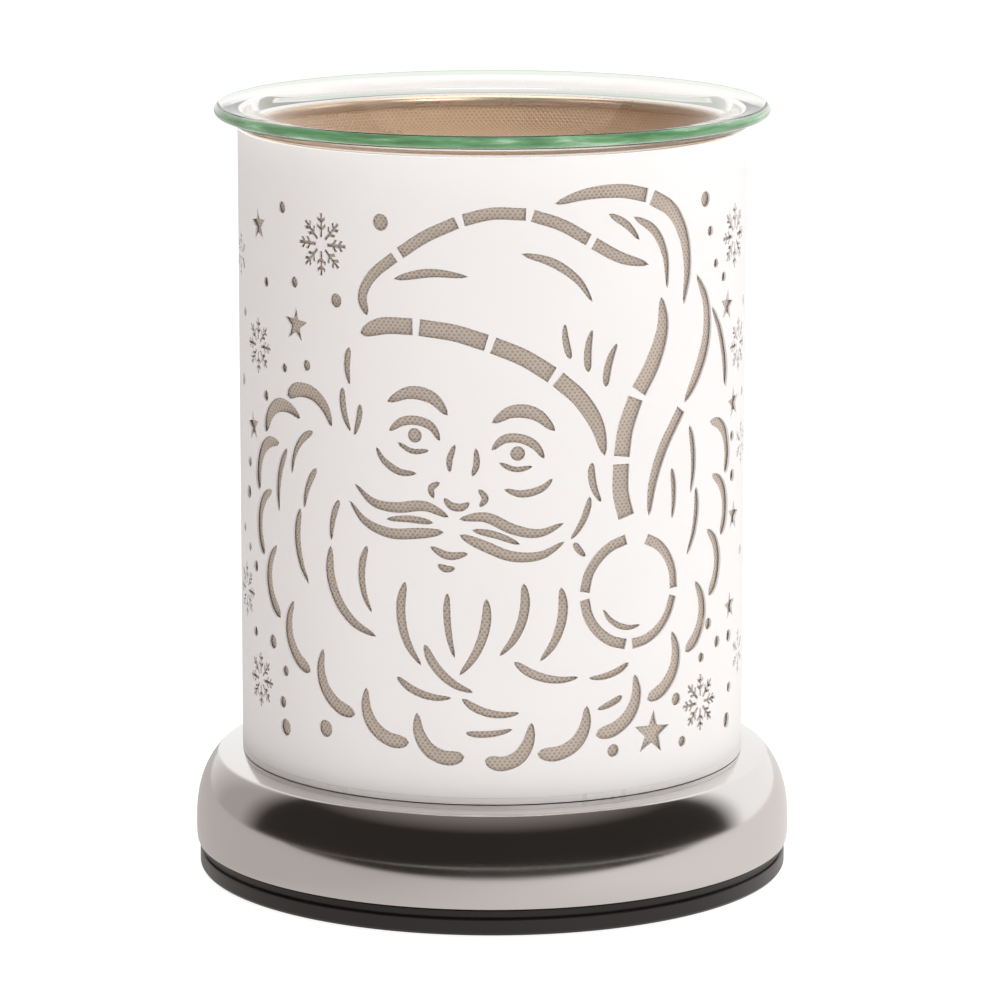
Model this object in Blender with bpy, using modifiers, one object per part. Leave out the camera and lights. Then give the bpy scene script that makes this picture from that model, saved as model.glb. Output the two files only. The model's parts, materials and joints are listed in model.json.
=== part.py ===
"""Electric wax warmer: a touch lamp whose pierced steel shade carries a glass melt dish over its bulb.

Lengths in the profiles and tables are millimetres and become metres in metres(). +Z is up, the origin
is at the centre of the underside, and the front of the warmer faces -Y.
"""

import math

import bmesh
import bpy
from mathutils import Matrix, Vector

MM = 0.001
GAP = 0.3
SEGMENTS = 48
SMALL_SEGMENTS = 12
SMOOTH_ANGLE = math.radians(35)
MERGE_DISTANCE = 0.00001

# Base, from the floor up.
PLATE_RADIUS = 64.5
PLATE_GROOVE_RADIUS = 63.6
PLATE_FOOT_RADIUS = 64.1
PLATE_RIM_BOTTOM = 0.2
PLATE_RIM_TOP = 5.5
PLATE_FLOOR_BOTTOM = 2.0
PLATE_FLOOR_TOP = 4.0
SPIGOT_OUTER = 62.4
SPIGOT_INNER = 60.8
SPIGOT_TOP = 9.0
FOOT_RADIUS = 5.0
FOOT_RING = 52.0
CORD_HOLE_RADIUS = 4.6
CORD_HOLE_Y = 46.0
CORD_NOTCH_WIDTH = 7.0
CORD_NOTCH_TOP = 4.8

COVER_RADIUS = 65.24
COVER_EDGE_RADIUS = 64.84
COVER_BELLY = 9.0
COVER_TOP = 26.17
COVER_WALL = 0.8
COVER_FLAT_RADIUS = 54.6
SHOULDER_WIDTH = 21.87
SHOULDER_HEIGHT = 21.41
SHOULDER_POWER = 2.0 / 2.59
SHOULDER_STEPS = 7

# Seat plate, shade and liner.
SEAT_RADIUS = 54.9
SEAT_BOTTOM = COVER_TOP + GAP
SEAT_THICK = 0.8
SEAT_TOP = SEAT_BOTTOM + SEAT_THICK
COLLAR_OUTER = 52.45
COLLAR_INNER = 51.65
COLLAR_TOP = 36.0
SHADE_RADIUS = 54.93
SHADE_WALL = 0.6
SHADE_BOTTOM = SEAT_TOP + GAP
SHADE_TOP = 163.4
LINER_RADIUS = 53.8
LINER_WALL = 0.5
LINER_TOP = 163.2
BEAD_RADIUS = 1.1
CUTTER_DEPTH = 5.0

# Dish.
DISH_RADIUS = 60.0
DISH_TOP = 168.4
DISH_EDGE = 2.6
DISH_REST_RADIUS = 54.0
DISH_WALL = 2.4
DISH_FLOOR_RADIUS = 26.0
DISH_FLOOR_TOP = 152.4

# Central fixing.
STEM_RADIUS = 4.9
STEM_BORE = 3.4
STEM_HOLE = STEM_RADIUS + GAP
STEM_BOTTOM = 18.5
STEM_TOP = 34.6
NUT_FLATS = 14.0
NUT_HEIGHT = 3.0
STRAP_HALF_SPAN = 46.0
STRAP_THICK = 1.2
STRAP_WIDTH = 12.0
STRAP_FOOT_TOP = 11.0
STRAP_FOOT_LENGTH = 9.0
STRAP_TOP = COVER_TOP - COVER_WALL - GAP

# Lampholder and lamp.
BRACKET_BOTTOM = SEAT_TOP + GAP
BRACKET_TOP = 39.7
BRACKET_THICK = 1.2
BRACKET_HALF_WIDTH = 15.0
BRACKET_DEPTH = 16.0
BRACKET_LIP = 7.5
HOLDER_RADIUS = 14.0
HOLDER_BOTTOM = BRACKET_TOP + GAP
HOLDER_TOP = 60.0
HOLDER_SCREW_X = 10.6
PIN_CIRCLE = 5.0
PIN_RADIUS = 1.5
PIN_HEAD_RADIUS = 2.4
PIN_BOTTOM = 52.0
PIN_HEAD_TOP = 54.2
PIN_ENTRY_RADIUS = 2.9
TWIST_DEGREES = 30.0
SLOT_FLOOR = 50.0
SLOT_LIP_BOTTOM = 56.5
LAMP_BOTTOM = HOLDER_TOP + GAP
LAMP_NECK_TOP = 76.0
LAMP_TOP = 112.0
LAMP_RADIUS = 25.0

# Switching parts inside the base.
MODULE_CENTRE = (0.0, 26.0)
MODULE_SIZE = (46.0, 26.0)
MODULE_BOTTOM = PLATE_FLOOR_TOP + GAP
MODULE_HEIGHT = 13.0
MODULE_WALL = 1.4
TERMINAL_CENTRE = (0.0, -30.0)
TERMINAL_SIZE = (26.0, 16.0, 12.0)
WIRE_RADIUS = 0.8
LAMP_WIRE_X = 1.4
SCREW_HOLE_RADIUS = 1.8

WHITE = (0.90, 0.88, 0.87, 1.0)
CHAMPAGNE = (0.55, 0.45, 0.36, 1.0)
CHROME = (0.72, 0.70, 0.68, 1.0)
BLACK = (0.022, 0.019, 0.017, 1.0)
GLASS = (0.86, 0.95, 0.88, 1.0)
STEEL = (0.56, 0.57, 0.58, 1.0)
BRASS = (0.72, 0.52, 0.22, 1.0)
CERAMIC = (0.88, 0.86, 0.80, 1.0)


def metres(*values):
    return tuple(value * MM for value in values)


def clear_scene():
    for obj in list(bpy.data.objects):
        bpy.data.objects.remove(obj, do_unlink=True)


def new_collection(name):
    collection = bpy.data.collections.new(name)
    bpy.context.scene.collection.children.link(collection)
    return collection


def material(name, colour, roughness, metallic=0.0, transmission=0.0):
    made = bpy.data.materials.new(name)
    made.use_nodes = True
    shader = made.node_tree.nodes["Principled BSDF"]
    shader.inputs["Base Color"].default_value = colour
    shader.inputs["Roughness"].default_value = roughness
    shader.inputs["Metallic"].default_value = metallic
    shader.inputs["Transmission Weight"].default_value = transmission
    made.diffuse_color = colour
    return made


class Bench:
    """Holds the two collections and makes the objects that go in them."""

    def __init__(self):
        self.parts = new_collection("wax_warmer")
        self.cutters = new_collection("cutters")

    def keep(self, obj, surface):
        self.parts.objects.link(obj)
        obj.data.materials.append(surface)
        return obj

    def keep_cutter(self, obj):
        self.cutters.objects.link(obj)
        obj.hide_render = True
        obj.display_type = "WIRE"
        return obj


def screw_object(name, profile, segments):
    """A profile of (radius, height) points turned about Z. It runs down the outer side."""
    mesh = bpy.data.meshes.new(name)
    points = [metres(radius, 0.0, height) for radius, height in profile]
    on_axis = profile[0][0] == 0.0 and profile[-1][0] == 0.0
    edges = [(i, i + 1) for i in range(len(points) - 1)]
    if not on_axis:
        edges.append((len(points) - 1, 0))
    mesh.from_pydata(points, edges, [])
    obj = bpy.data.objects.new(name, mesh)
    turn = obj.modifiers.new("turn", "SCREW")
    turn.steps = segments
    turn.render_steps = segments
    turn.use_smooth_shade = True
    turn.use_merge_vertices = True
    turn.merge_threshold = MERGE_DISTANCE
    return obj


def flat_object(name, outlines, low, high):
    """Closed outlines in XY, the later ones being holes, extruded from height low to height high."""
    curve = bpy.data.curves.new(name, "CURVE")
    curve.dimensions = "2D"
    curve.fill_mode = "BOTH"
    curve.extrude = (high - low) / 2 * MM
    for outline in outlines:
        spline = curve.splines.new("POLY")
        spline.points.add(len(outline) - 1)
        for point, (x, y) in zip(spline.points, outline):
            point.co = (x * MM, y * MM, 0.0, 1.0)
        spline.use_cyclic_u = True
    obj = bpy.data.objects.new(name, curve)
    obj.location = metres(0.0, 0.0, (low + high) / 2)
    return obj


def as_mesh(obj):
    """The curve object as a mesh object of the same name and place, with its caps welded on."""
    scene_objects = bpy.context.scene.collection.objects
    scene_objects.link(obj)
    bpy.context.view_layer.update()
    graph = bpy.context.evaluated_depsgraph_get()
    mesh = bpy.data.meshes.new_from_object(obj.evaluated_get(graph))
    name, place = obj.name, obj.matrix_world.copy()
    bpy.data.objects.remove(obj, do_unlink=True)
    shape = bmesh.new()
    shape.from_mesh(mesh)
    bmesh.ops.remove_doubles(shape, verts=shape.verts, dist=MERGE_DISTANCE)
    shape.to_mesh(mesh)
    shape.free()
    made = bpy.data.objects.new(name, mesh)
    made.matrix_world = place
    return made


def box_object(name, low, high):
    shape = bmesh.new()
    size = [b - a for a, b in zip(low, high)]
    middle = [(a + b) / 2 for a, b in zip(low, high)]
    bmesh.ops.create_cube(shape, size=1.0, matrix=Matrix.Diagonal((*metres(*size), 1.0)))
    mesh = bpy.data.meshes.new(name)
    shape.to_mesh(mesh)
    shape.free()
    obj = bpy.data.objects.new(name, mesh)
    obj.location = metres(*middle)
    return obj


def rod_object(name, radius, low, high, centre=(0.0, 0.0), segments=SMALL_SEGMENTS):
    """An upright cylinder whose origin is on its own axis at the height low."""
    length = high - low
    shape = bmesh.new()
    lift = Matrix.Translation(metres(0.0, 0.0, length / 2))
    bmesh.ops.create_cone(
        shape, cap_ends=True, segments=segments, depth=length * MM,
        radius1=radius * MM, radius2=radius * MM, matrix=lift,
    )
    mesh = bpy.data.meshes.new(name)
    shape.to_mesh(mesh)
    shape.free()
    mesh.shade_smooth()
    mesh.set_sharp_from_angle(angle=SMOOTH_ANGLE)
    obj = bpy.data.objects.new(name, mesh)
    obj.location = metres(*centre, low)
    return obj


def wire_object(name, route, radius):
    """A round wire through the points of a smooth curve that passes the route's own points."""
    curve = bpy.data.curves.new(name, "CURVE")
    curve.dimensions = "3D"
    curve.bevel_depth = radius * MM
    curve.bevel_resolution = 1
    curve.use_fill_caps = True
    points = smooth_points(route, steps=4)
    spline = curve.splines.new("POLY")
    spline.points.add(len(points) - 1)
    for knot, point in zip(spline.points, points):
        knot.co = (*metres(*point), 1.0)
    return bpy.data.objects.new(name, curve)


def smooth_points(route, steps):
    """Catmull-Rom points through the route."""
    knots = [Vector(point) for point in route]
    knots = [knots[0] * 2 - knots[1]] + knots + [knots[-1] * 2 - knots[-2]]
    found = []
    for a, b, c, d in zip(knots, knots[1:], knots[2:], knots[3:]):
        for step in range(steps):
            t = step / steps
            bend = (a * 2 - b * 5 + c * 4 - d) * t * t + (b * 3 - a - c * 3 + d) * t ** 3
            found.append((b * 2 + (c - a) * t + bend) / 2)
    found.append(knots[-2])
    return found


def cut(bench, obj, *cutters):
    for cutter in cutters:
        bench.keep_cutter(cutter)
        hole = obj.modifiers.new("cut " + cutter.name, "BOOLEAN")
        hole.operation = "DIFFERENCE"
        hole.solver = "EXACT"
        hole.object = cutter
    return obj


def circle(radius, centre=(0.0, 0.0), count=SMALL_SEGMENTS):
    turns = [2 * math.pi * i / count for i in range(count)]
    return [(centre[0] + radius * math.cos(a), centre[1] + radius * math.sin(a)) for a in turns]


def rectangle(centre, size):
    x, y = centre
    half_x, half_y = size[0] / 2, size[1] / 2
    left, right, near, far = x - half_x, x + half_x, y - half_y, y + half_y
    return [(left, near), (right, near), (right, far), (left, far)]


def arc_slot(radius, half_width, start, end, steps=5):
    """The outline of a slot with round ends whose middle follows a circle about the origin, in degrees."""
    angles = [math.radians(start + (end - start) * i / steps) for i in range(steps + 1)]
    outer, inner = radius + half_width, radius - half_width
    outline = [(outer * math.cos(a), outer * math.sin(a)) for a in angles]
    outline += slot_end(radius, half_width, angles[-1], angles[-1])
    outline += [(inner * math.cos(a), inner * math.sin(a)) for a in angles[::-1]]
    outline += slot_end(radius, half_width, angles[0], angles[0] + math.pi)
    return outline


def slot_end(radius, half_width, place, heading):
    centre = (radius * math.cos(place), radius * math.sin(place))
    turns = [heading + math.pi * i / 4 for i in (1, 2, 3)]
    return [(centre[0] + half_width * math.cos(a), centre[1] + half_width * math.sin(a)) for a in turns]


# Base


def shoulder_point(step):
    turn = math.pi / 2 * step / SHOULDER_STEPS
    reach = math.cos(turn) ** SHOULDER_POWER if step < SHOULDER_STEPS else 0.0
    radius = COVER_RADIUS - SHOULDER_WIDTH * (1.0 - reach)
    return radius, COVER_BELLY + SHOULDER_HEIGHT * math.sin(turn) ** SHOULDER_POWER


def cover_profile():
    """The outer line of the base cover, from its flat top down over the shoulder to its curled-in edge."""
    shoulder = [shoulder_point(step) for step in range(SHOULDER_STEPS)]
    shoulder = [point for point in shoulder if point[1] < COVER_TOP - 1.0]
    edge = [(COVER_RADIUS - 0.1, 6.8), (COVER_EDGE_RADIUS, PLATE_RIM_TOP + GAP)]
    return [(COVER_FLAT_RADIUS, COVER_TOP)] + shoulder[::-1] + edge


def base_cover(bench, chrome):
    outer = [(STEM_HOLE, COVER_TOP)] + cover_profile()
    inner = [(max(radius - COVER_WALL, STEM_HOLE), height) for radius, height in cover_profile()[::-1]]
    inner[-1] = (COVER_FLAT_RADIUS - COVER_WALL, COVER_TOP - COVER_WALL)
    inner.append((STEM_HOLE, COVER_TOP - COVER_WALL))
    inner[0] = (COVER_EDGE_RADIUS - COVER_WALL, PLATE_RIM_TOP + GAP)
    return bench.keep(screw_object("base_cover", outer + inner, SEGMENTS), chrome)


def base_plate(bench, black):
    top = [(0.0, PLATE_FLOOR_TOP), (SPIGOT_INNER, PLATE_FLOOR_TOP), (SPIGOT_INNER, SPIGOT_TOP)]
    spigot = [(SPIGOT_OUTER, SPIGOT_TOP), (SPIGOT_OUTER, PLATE_RIM_TOP)]
    side = [(PLATE_GROOVE_RADIUS, PLATE_RIM_TOP), (PLATE_GROOVE_RADIUS, 4.0), (PLATE_RADIUS, 3.7)]
    foot = [(PLATE_RADIUS, 0.7), (PLATE_FOOT_RADIUS, PLATE_RIM_BOTTOM)]
    under = [(SPIGOT_INNER, PLATE_RIM_BOTTOM), (SPIGOT_INNER, PLATE_FLOOR_BOTTOM), (0.0, PLATE_FLOOR_BOTTOM)]
    plate = screw_object("base_plate", top + spigot + side + foot + under, SEGMENTS)
    bench.keep(plate, black)
    cutters = [rod_object("cord_hole", CORD_HOLE_RADIUS, 0.0, SPIGOT_TOP, (0.0, CORD_HOLE_Y))]
    notch_low = (-CORD_NOTCH_WIDTH / 2, SPIGOT_INNER - 1.0, PLATE_RIM_BOTTOM - 1.0)
    notch_high = (CORD_NOTCH_WIDTH / 2, PLATE_RADIUS + 1.0, CORD_NOTCH_TOP)
    cutters.append(box_object("cord_notch", notch_low, notch_high))
    for side_of_plate in (-1, 1):
        centre = (side_of_plate * STRAP_HALF_SPAN, 0.0)
        cutters.append(rod_object(f"plate_screw_hole_{side_of_plate}", 2.0, 0.0, SPIGOT_TOP, centre))
    return cut(bench, plate, *cutters)


def foot_pads(bench, rubber):
    for number, turn in enumerate((45, 135, 225, 315), start=1):
        centre = (FOOT_RING * math.cos(math.radians(turn)), FOOT_RING * math.sin(math.radians(turn)))
        pad = rod_object(f"foot_pad_{number}", FOOT_RADIUS, 0.0, PLATE_FLOOR_BOTTOM - GAP, centre)
        bench.keep(pad, rubber)


def base_screws(bench, steel):
    """Pan-headed screws that come up through the plate into the strap's tapped feet."""
    head_bottom = PLATE_FLOOR_BOTTOM - GAP - 1.2
    profile = [(0.0, 13.0), (1.3, 12.4), (1.5, 11.9), (1.5, PLATE_FLOOR_BOTTOM - GAP)]
    profile += [(3.3, PLATE_FLOOR_BOTTOM - GAP), (3.1, head_bottom + 0.4), (2.4, head_bottom), (0.0, head_bottom)]
    for number, side in enumerate((-1, 1), start=1):
        screw = screw_object(f"base_screw_{number}", profile, SMALL_SEGMENTS)
        screw.location = metres(side * STRAP_HALF_SPAN, 0.0, 0.0)
        slot_low, slot_high = (-4.0, -0.5, head_bottom - 1.0), (4.0, 0.5, head_bottom + 0.5)
        slot = box_object(f"base_screw_slot_{number}", slot_low, slot_high)
        slot.location.x += side * STRAP_HALF_SPAN * MM
        cut(bench, bench.keep(screw, steel), slot)


def base_strap(bench, steel):
    """A bent steel strip under the cover's top, with a tapped foot at each end."""
    half, thick = STRAP_HALF_SPAN + STRAP_FOOT_LENGTH / 2, STRAP_THICK
    knee = half - STRAP_FOOT_LENGTH
    foot_bottom = STRAP_FOOT_TOP - thick
    right = [(knee - thick, STRAP_TOP - thick), (knee - thick, foot_bottom), (half, foot_bottom)]
    right += [(half, STRAP_FOOT_TOP), (knee, STRAP_FOOT_TOP), (knee, STRAP_TOP)]
    left = [(-x, z) for x, z in right[::-1]]
    strap = flat_object("base_strap", [right + left], -STRAP_WIDTH / 2, STRAP_WIDTH / 2)
    strap.rotation_euler = (math.pi / 2, 0.0, 0.0)
    strap = as_mesh(strap)
    cutters = [rod_object("strap_stem_hole", STEM_HOLE, STRAP_TOP - 3.0, STRAP_TOP + 1.0)]
    for side in (-1, 1):
        centre = (side * STRAP_HALF_SPAN, 0.0)
        low, high = foot_bottom - 1.0, STRAP_FOOT_TOP + 1.0
        cutters.append(rod_object(f"strap_tapped_hole_{side}", SCREW_HOLE_RADIUS, low, high, centre))
    return cut(bench, bench.keep(strap, steel), *cutters)


def cord_gland(bench, rubber):
    """A snap-in bush that the supply cord comes through, in the floor of the base plate."""
    bore, neck, flange = 3.3, CORD_HOLE_RADIUS - GAP, 6.2
    low, high = PLATE_FLOOR_BOTTOM - GAP, PLATE_FLOOR_TOP + GAP
    profile = [(bore, high + 3.0), (neck, high + 3.0), (flange - 0.6, high + 1.2), (flange - 0.6, high)]
    profile.append((neck, high))
    profile += [(neck, low), (flange, low), (flange, low - 1.0), (bore, low - 1.0)]
    gland = screw_object("cord_gland", profile, SMALL_SEGMENTS)
    gland.location = metres(0.0, CORD_HOLE_Y, 0.0)
    return bench.keep(gland, rubber)


# Shade pattern, on the unrolled sheet: s runs round from the front and z is the height


def stroke(width, start, end, route, steps):
    """The outline of a brush stroke: start and end say how much of its length each tip tapers over."""
    line = smooth_points(route, steps)
    last = len(line) - 1
    left, right = [], []
    for i, (x, y) in enumerate(line):
        before, after = line[max(i - 1, 0)], line[min(i + 1, last)]
        dx, dy = after[0] - before[0], after[1] - before[1]
        size = math.hypot(dx, dy)
        t = i / last
        half = width / 2
        if start:
            half *= math.sqrt(1 - (1 - min(1.0, t / start)) ** 2)
        if end:
            half *= math.sqrt(1 - (1 - min(1.0, (1 - t) / end)) ** 2)
        if half < 0.02:
            left.append((x, y))
            continue
        nx, ny = -dy / size, dx / size
        left.append((x + nx * half, y + ny * half))
        right.append((x - nx * half, y - ny * half))
    return left + right[::-1]


def lock(s, z, heading, length, bend, width):
    """The route of a hair lock that sets off at a heading and turns by bend along its length, in degrees."""
    points = [(s, z)]
    parts = 4
    for i in range(parts):
        turn = math.radians(heading + bend * (i + 0.5) / parts)
        s += length / parts * math.cos(turn)
        z += length / parts * math.sin(turn)
        points.append((s, z))
    return width, LOCK_START, LOCK_END, points


LOCK_START = 0.3
LOCK_END = 0.65


def arc(centre, radius, start, end, width, taper=0.0):
    turns = [math.radians(start + (end - start) * i / 4) for i in range(5)]
    points = [(centre[0] + radius * math.cos(a), centre[1] + radius * math.sin(a)) for a in turns]
    return width, taper, taper, points


# (width, start taper, end taper, route)
CAP = [
    (2.4, 0.3, 0.0, [(-27.2, 129.5), (-28.4, 133.5), (-26.0, 138.0), (-20.8, 142.2)]),
    (2.6, 0.0, 0.0, [(-19.6, 143.1), (-14.0, 146.8), (-7.4, 149.9)]),
    (2.6, 0.0, 0.0, [(-6.0, 150.4), (0.0, 151.8), (7.0, 151.6)]),
    (2.6, 0.0, 0.0, [(8.4, 151.3), (14.5, 149.2), (20.5, 145.8)]),
    (2.6, 0.0, 0.8, [(21.7, 145.0), (28.0, 141.6), (35.0, 139.6)]),
    (3.0, 0.8, 0.0, [(13.0, 153.6), (20.0, 155.4), (28.0, 155.6), (34.5, 154.2)]),
    (3.4, 0.0, 0.8, [(35.8, 153.7), (41.5, 150.4), (45.2, 144.6), (46.4, 137.5), (45.2, 130.0)]),
    (2.2, 0.5, 0.8, [(31.0, 150.0), (36.5, 146.6), (39.6, 141.0), (40.2, 134.0)]),
    (1.8, 0.5, 0.8, [(25.0, 151.0), (29.4, 148.4), (32.6, 145.0)]),
    (4.2, 0.8, 0.0, [(38.5, 132.5), (39.0, 126.0), (36.5, 119.0), (32.6, 113.0)]),
    (4.0, 0.0, 0.0, [(31.8, 111.6), (29.4, 105.5), (28.4, 99.5)]),
    (4.0, 0.0, 0.0, [(28.3, 97.9), (28.2, 92.0), (29.6, 86.5)]),
    (3.6, 0.7, 0.5, [(49.5, 136.0), (53.2, 129.5), (53.4, 122.0), (50.0, 114.8), (45.6, 109.0)]),
    (2.8, 0.0, 0.7, [(44.6, 107.8), (39.4, 100.4), (36.4, 93.0), (35.4, 86.0)]),
    (2.8, 0.8, 0.3, [(55.5, 128.5), (59.4, 122.5), (61.8, 116.0), (62.4, 110.0)]),
    (2.0, 0.5, 0.8, [(-21.0, 137.6), (-13.0, 139.2), (-5.0, 138.6)]),
    (2.0, 0.5, 0.8, [(6.0, 143.4), (12.6, 141.4), (18.0, 137.6), (21.4, 132.8)]),
]
BAND = [
    (3.6, 0.5, 0.0, [(-29.0, 125.6), (-23.4, 127.6), (-16.8, 127.8)]),
    (3.6, 0.0, 0.0, [(-15.4, 127.7), (-8.0, 126.8), (-1.2, 124.8)]),
    (3.6, 0.0, 0.0, [(0.2, 124.3), (6.6, 121.6), (12.6, 117.8)]),
    (3.6, 0.0, 0.6, [(13.8, 116.9), (18.8, 112.4), (22.6, 106.6), (24.4, 100.0)]),
]
TUFTS = [
    (20.6, 118.0, 100, 9.0, -30, 1.8), (24.6, 114.6, 92, 9.5, -36, 1.9), (16.6, 121.0, 112, 7.6, -24, 1.6),
    (27.0, 119.6, 70, 7.0, -30, 1.4), (-28.0, 119.6, 210, 6.6, 50, 1.8), (-31.6, 122.4, 250, 8.0, 40, 1.8),
    (-33.4, 113.8, 262, 9.6, 40, 1.9), (-29.0, 110.6, 268, 9.6, -30, 1.6), (-36.2, 104.6, 240, 10.0, 46, 1.9),
    (21.4, 98.8, 262, 9.0, 44, 1.8),
]
BOBBLE_CENTRE = (31.2, 70.4)
BOBBLE_RADIUS = 11.4
BOBBLE_ARCS = [(98, 176), (184, 262), (270, 348), (356, 432)]

HEAD_CENTRE = (-5.5, 103.5)
HEAD_WIDTH = 55.0
HEAD_TILT = -9.0
# Features on one side, in head widths from the middle of the eye line; the other side mirrors them.
FACE_SIDE = [
    (2.0, 0.4, 0.4, [(0.10, -0.008), (0.14, 0.040), (0.20, 0.052), (0.26, 0.034), (0.305, -0.012)]),
    (1.2, 0.4, 0.4, [(0.135, -0.052), (0.20, -0.068), (0.265, -0.048)]),
    (3.0, 0.6, 0.6, [(0.085, 0.095), (0.155, 0.150), (0.245, 0.152), (0.330, 0.098)]),
    (1.5, 0.5, 0.5, [(0.075, -0.165), (0.105, -0.195), (0.090, -0.232)]),
    (1.7, 0.5, 0.6, [(0.170, -0.150), (0.240, -0.158), (0.310, -0.130), (0.350, -0.085)]),
    (2.4, 0.4, 0.7, [(0.020, -0.292), (0.120, -0.268), (0.230, -0.298), (0.330, -0.300), (0.420, -0.250)]),
    (2.4, 0.3, 0.7, [(0.030, -0.352), (0.130, -0.378), (0.240, -0.402), (0.350, -0.384), (0.435, -0.320)]),
    (1.6, 0.4, 0.6, [(0.075, -0.325), (0.170, -0.330), (0.265, -0.352)]),
    (1.4, 0.5, 0.5, [(0.040, -0.010), (0.052, -0.070), (0.044, -0.120)]),
]
FACE_MIDDLE = [
    (1.8, 0.5, 0.5, [(-0.050, -0.222), (-0.020, -0.246), (0.020, -0.246), (0.050, -0.222)]),
    (1.8, 0.5, 0.5, [(-0.075, -0.418), (0.0, -0.440), (0.075, -0.418)]),
    (1.6, 0.5, 0.6, [(-0.035, -0.482), (0.0, -0.492), (0.035, -0.482)]),
]
PUPIL = (0.20, -0.006, 1.55)

# The beard's edge runs down each side to the bottom; each lock starts inside it and sweeps out along it.
EDGE_LEFT = [
    (-38.0, 112.4), (-51.6, 110.4), (-60.6, 100.4), (-63.6, 86.4), (-60.6, 72.4), (-53.0, 60.0),
    (-42.4, 50.0), (-29.8, 42.6), (-17.0, 38.0), (-5.0, 35.8),
]
EDGE_RIGHT = [
    (62.6, 103.6), (63.4, 90.0), (60.8, 76.8), (55.2, 64.6), (46.2, 53.8), (34.6, 45.2), (21.6, 39.2),
    (8.6, 36.2), (-2.4, 35.2),
]
EDGE_LOCK_WIDTH = 3.2
# Locks: place, heading, length, bend, width.
BEARD_LOCKS = [
    (-41.6, 103.4, 200, 13.0, 70, 1.9), (-50.2, 98.6, 232, 15.0, 50, 2.2), (-55.2, 88.4, 254, 15.0, 46, 2.2),
    (-55.6, 77.6, 270, 14.0, 46, 2.1), (-52.2, 66.8, 286, 14.0, 42, 2.1), (-46.2, 57.6, 300, 13.0, 40, 1.9),
    (-37.6, 50.2, 314, 13.0, 38, 1.8), (-27.6, 45.4, 326, 11.0, 34, 1.6), (-17.0, 42.4, 336, 10.0, 30, 1.6),
    (-40.6, 95.6, 226, 14.0, 56, 1.9), (-45.8, 86.4, 248, 17.0, 62, 2.4), (-46.6, 73.6, 270, 17.0, 58, 2.2),
    (-40.8, 62.6, 292, 16.0, 52, 2.1), (-30.2, 53.8, 310, 13.0, 46, 1.8),
    (-34.4, 89.6, 238, 13.0, 50, 1.8), (-36.8, 79.6, 256, 24.0, 92, 2.7), (-27.4, 80.6, 244, 15.0, 60, 1.9),
    (-27.6, 67.6, 268, 15.0, 62, 2.1), (-18.6, 73.6, 250, 19.0, 62, 2.2), (-20.6, 53.0, 316, 13.0, 52, 1.8),
    (-9.4, 71.6, 264, 14.0, 24, 1.6), (-14.4, 60.4, 286, 15.0, 60, 2.1), (-1.2, 70.6, 276, 18.0, -50, 2.1),
    (-6.4, 49.0, 318, 13.0, 56, 1.8), (6.6, 73.8, 282, 17.0, -60, 2.1), (14.6, 72.6, 284, 17.0, -60, 2.2),
    (4.6, 57.0, 316, 15.0, 56, 1.9), (-5.6, 41.6, 352, 10.0, 26, 1.5),
    (54.6, 107.6, 286, 15.0, -36, 2.1), (56.8, 95.4, 280, 14.0, -36, 2.1), (56.2, 83.6, 272, 14.0, -38, 2.1),
    (53.0, 72.2, 258, 13.0, -38, 1.9), (47.2, 61.8, 244, 13.0, -38, 1.9), (39.0, 53.4, 226, 12.0, -36, 1.8),
    (28.8, 48.0, 210, 11.0, -30, 1.6), (18.6, 43.8, 198, 10.0, -26, 1.5), (8.0, 41.8, 190, 9.0, -24, 1.5),
    (47.4, 104.0, 290, 15.0, -36, 1.9), (49.8, 90.4, 280, 15.0, -44, 1.9), (47.0, 76.4, 262, 12.0, -40, 1.8),
    (41.8, 95.6, 284, 11.0, -26, 1.6), (20.4, 55.4, 212, 13.0, -54, 1.9), (30.4, 55.0, 214, 10.0, -40, 1.6),
    (21.0, 91.6, 262, 10.0, -36, 1.6), (17.4, 82.0, 300, 7.0, 36, 1.5),
]


BRIDGE = 0.7
CHECK_STEPS = 3
LOCK_SHARES = (1.0, 0.86, 0.72, 0.58)

# Motifs round the figure: place, radius, and a star's turn or a snowflake's arms.
STARS = [
    (-62.0, 145.0, 3.7, 6), (-47.0, 125.5, 3.9, -4), (-66.0, 101.0, 3.5, 8), (63.0, 127.5, 3.5, -6),
    (67.4, 105.8, 3.6, 5), (68.0, 81.0, 3.6, -8), (66.0, 61.5, 3.3, 4), (36.6, 38.9, 5.0, -5),
]
DOTS = [
    (-24.0, 149.3, 1.8), (-35.0, 132.0, 1.5), (-69.5, 86.0, 1.5), (-56.5, 55.5, 1.6), (-51.5, 37.6, 1.9),
    (-38.5, 39.6, 1.9), (26.6, 36.4, 1.4), (43.6, 45.2, 1.4), (65.5, 55.0, 1.4), (64.5, 36.5, 1.7),
    (52.6, 151.6, 1.7), (67.0, 90.0, 1.4),
]


def star_outline(s, z, radius, turn=0.0):
    points = []
    for i in range(10):
        reach = radius if i % 2 == 0 else radius * 0.42
        a = math.radians(90 + turn + 36 * i)
        points.append((s + reach * math.cos(a), z + reach * math.sin(a)))
    return points


def head_point(u, v):
    turn = math.radians(HEAD_TILT)
    x, y = u * HEAD_WIDTH, v * HEAD_WIDTH
    across = x * math.cos(turn) - y * math.sin(turn)
    up = x * math.sin(turn) + y * math.cos(turn)
    return HEAD_CENTRE[0] + across, HEAD_CENTRE[1] + up


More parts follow.
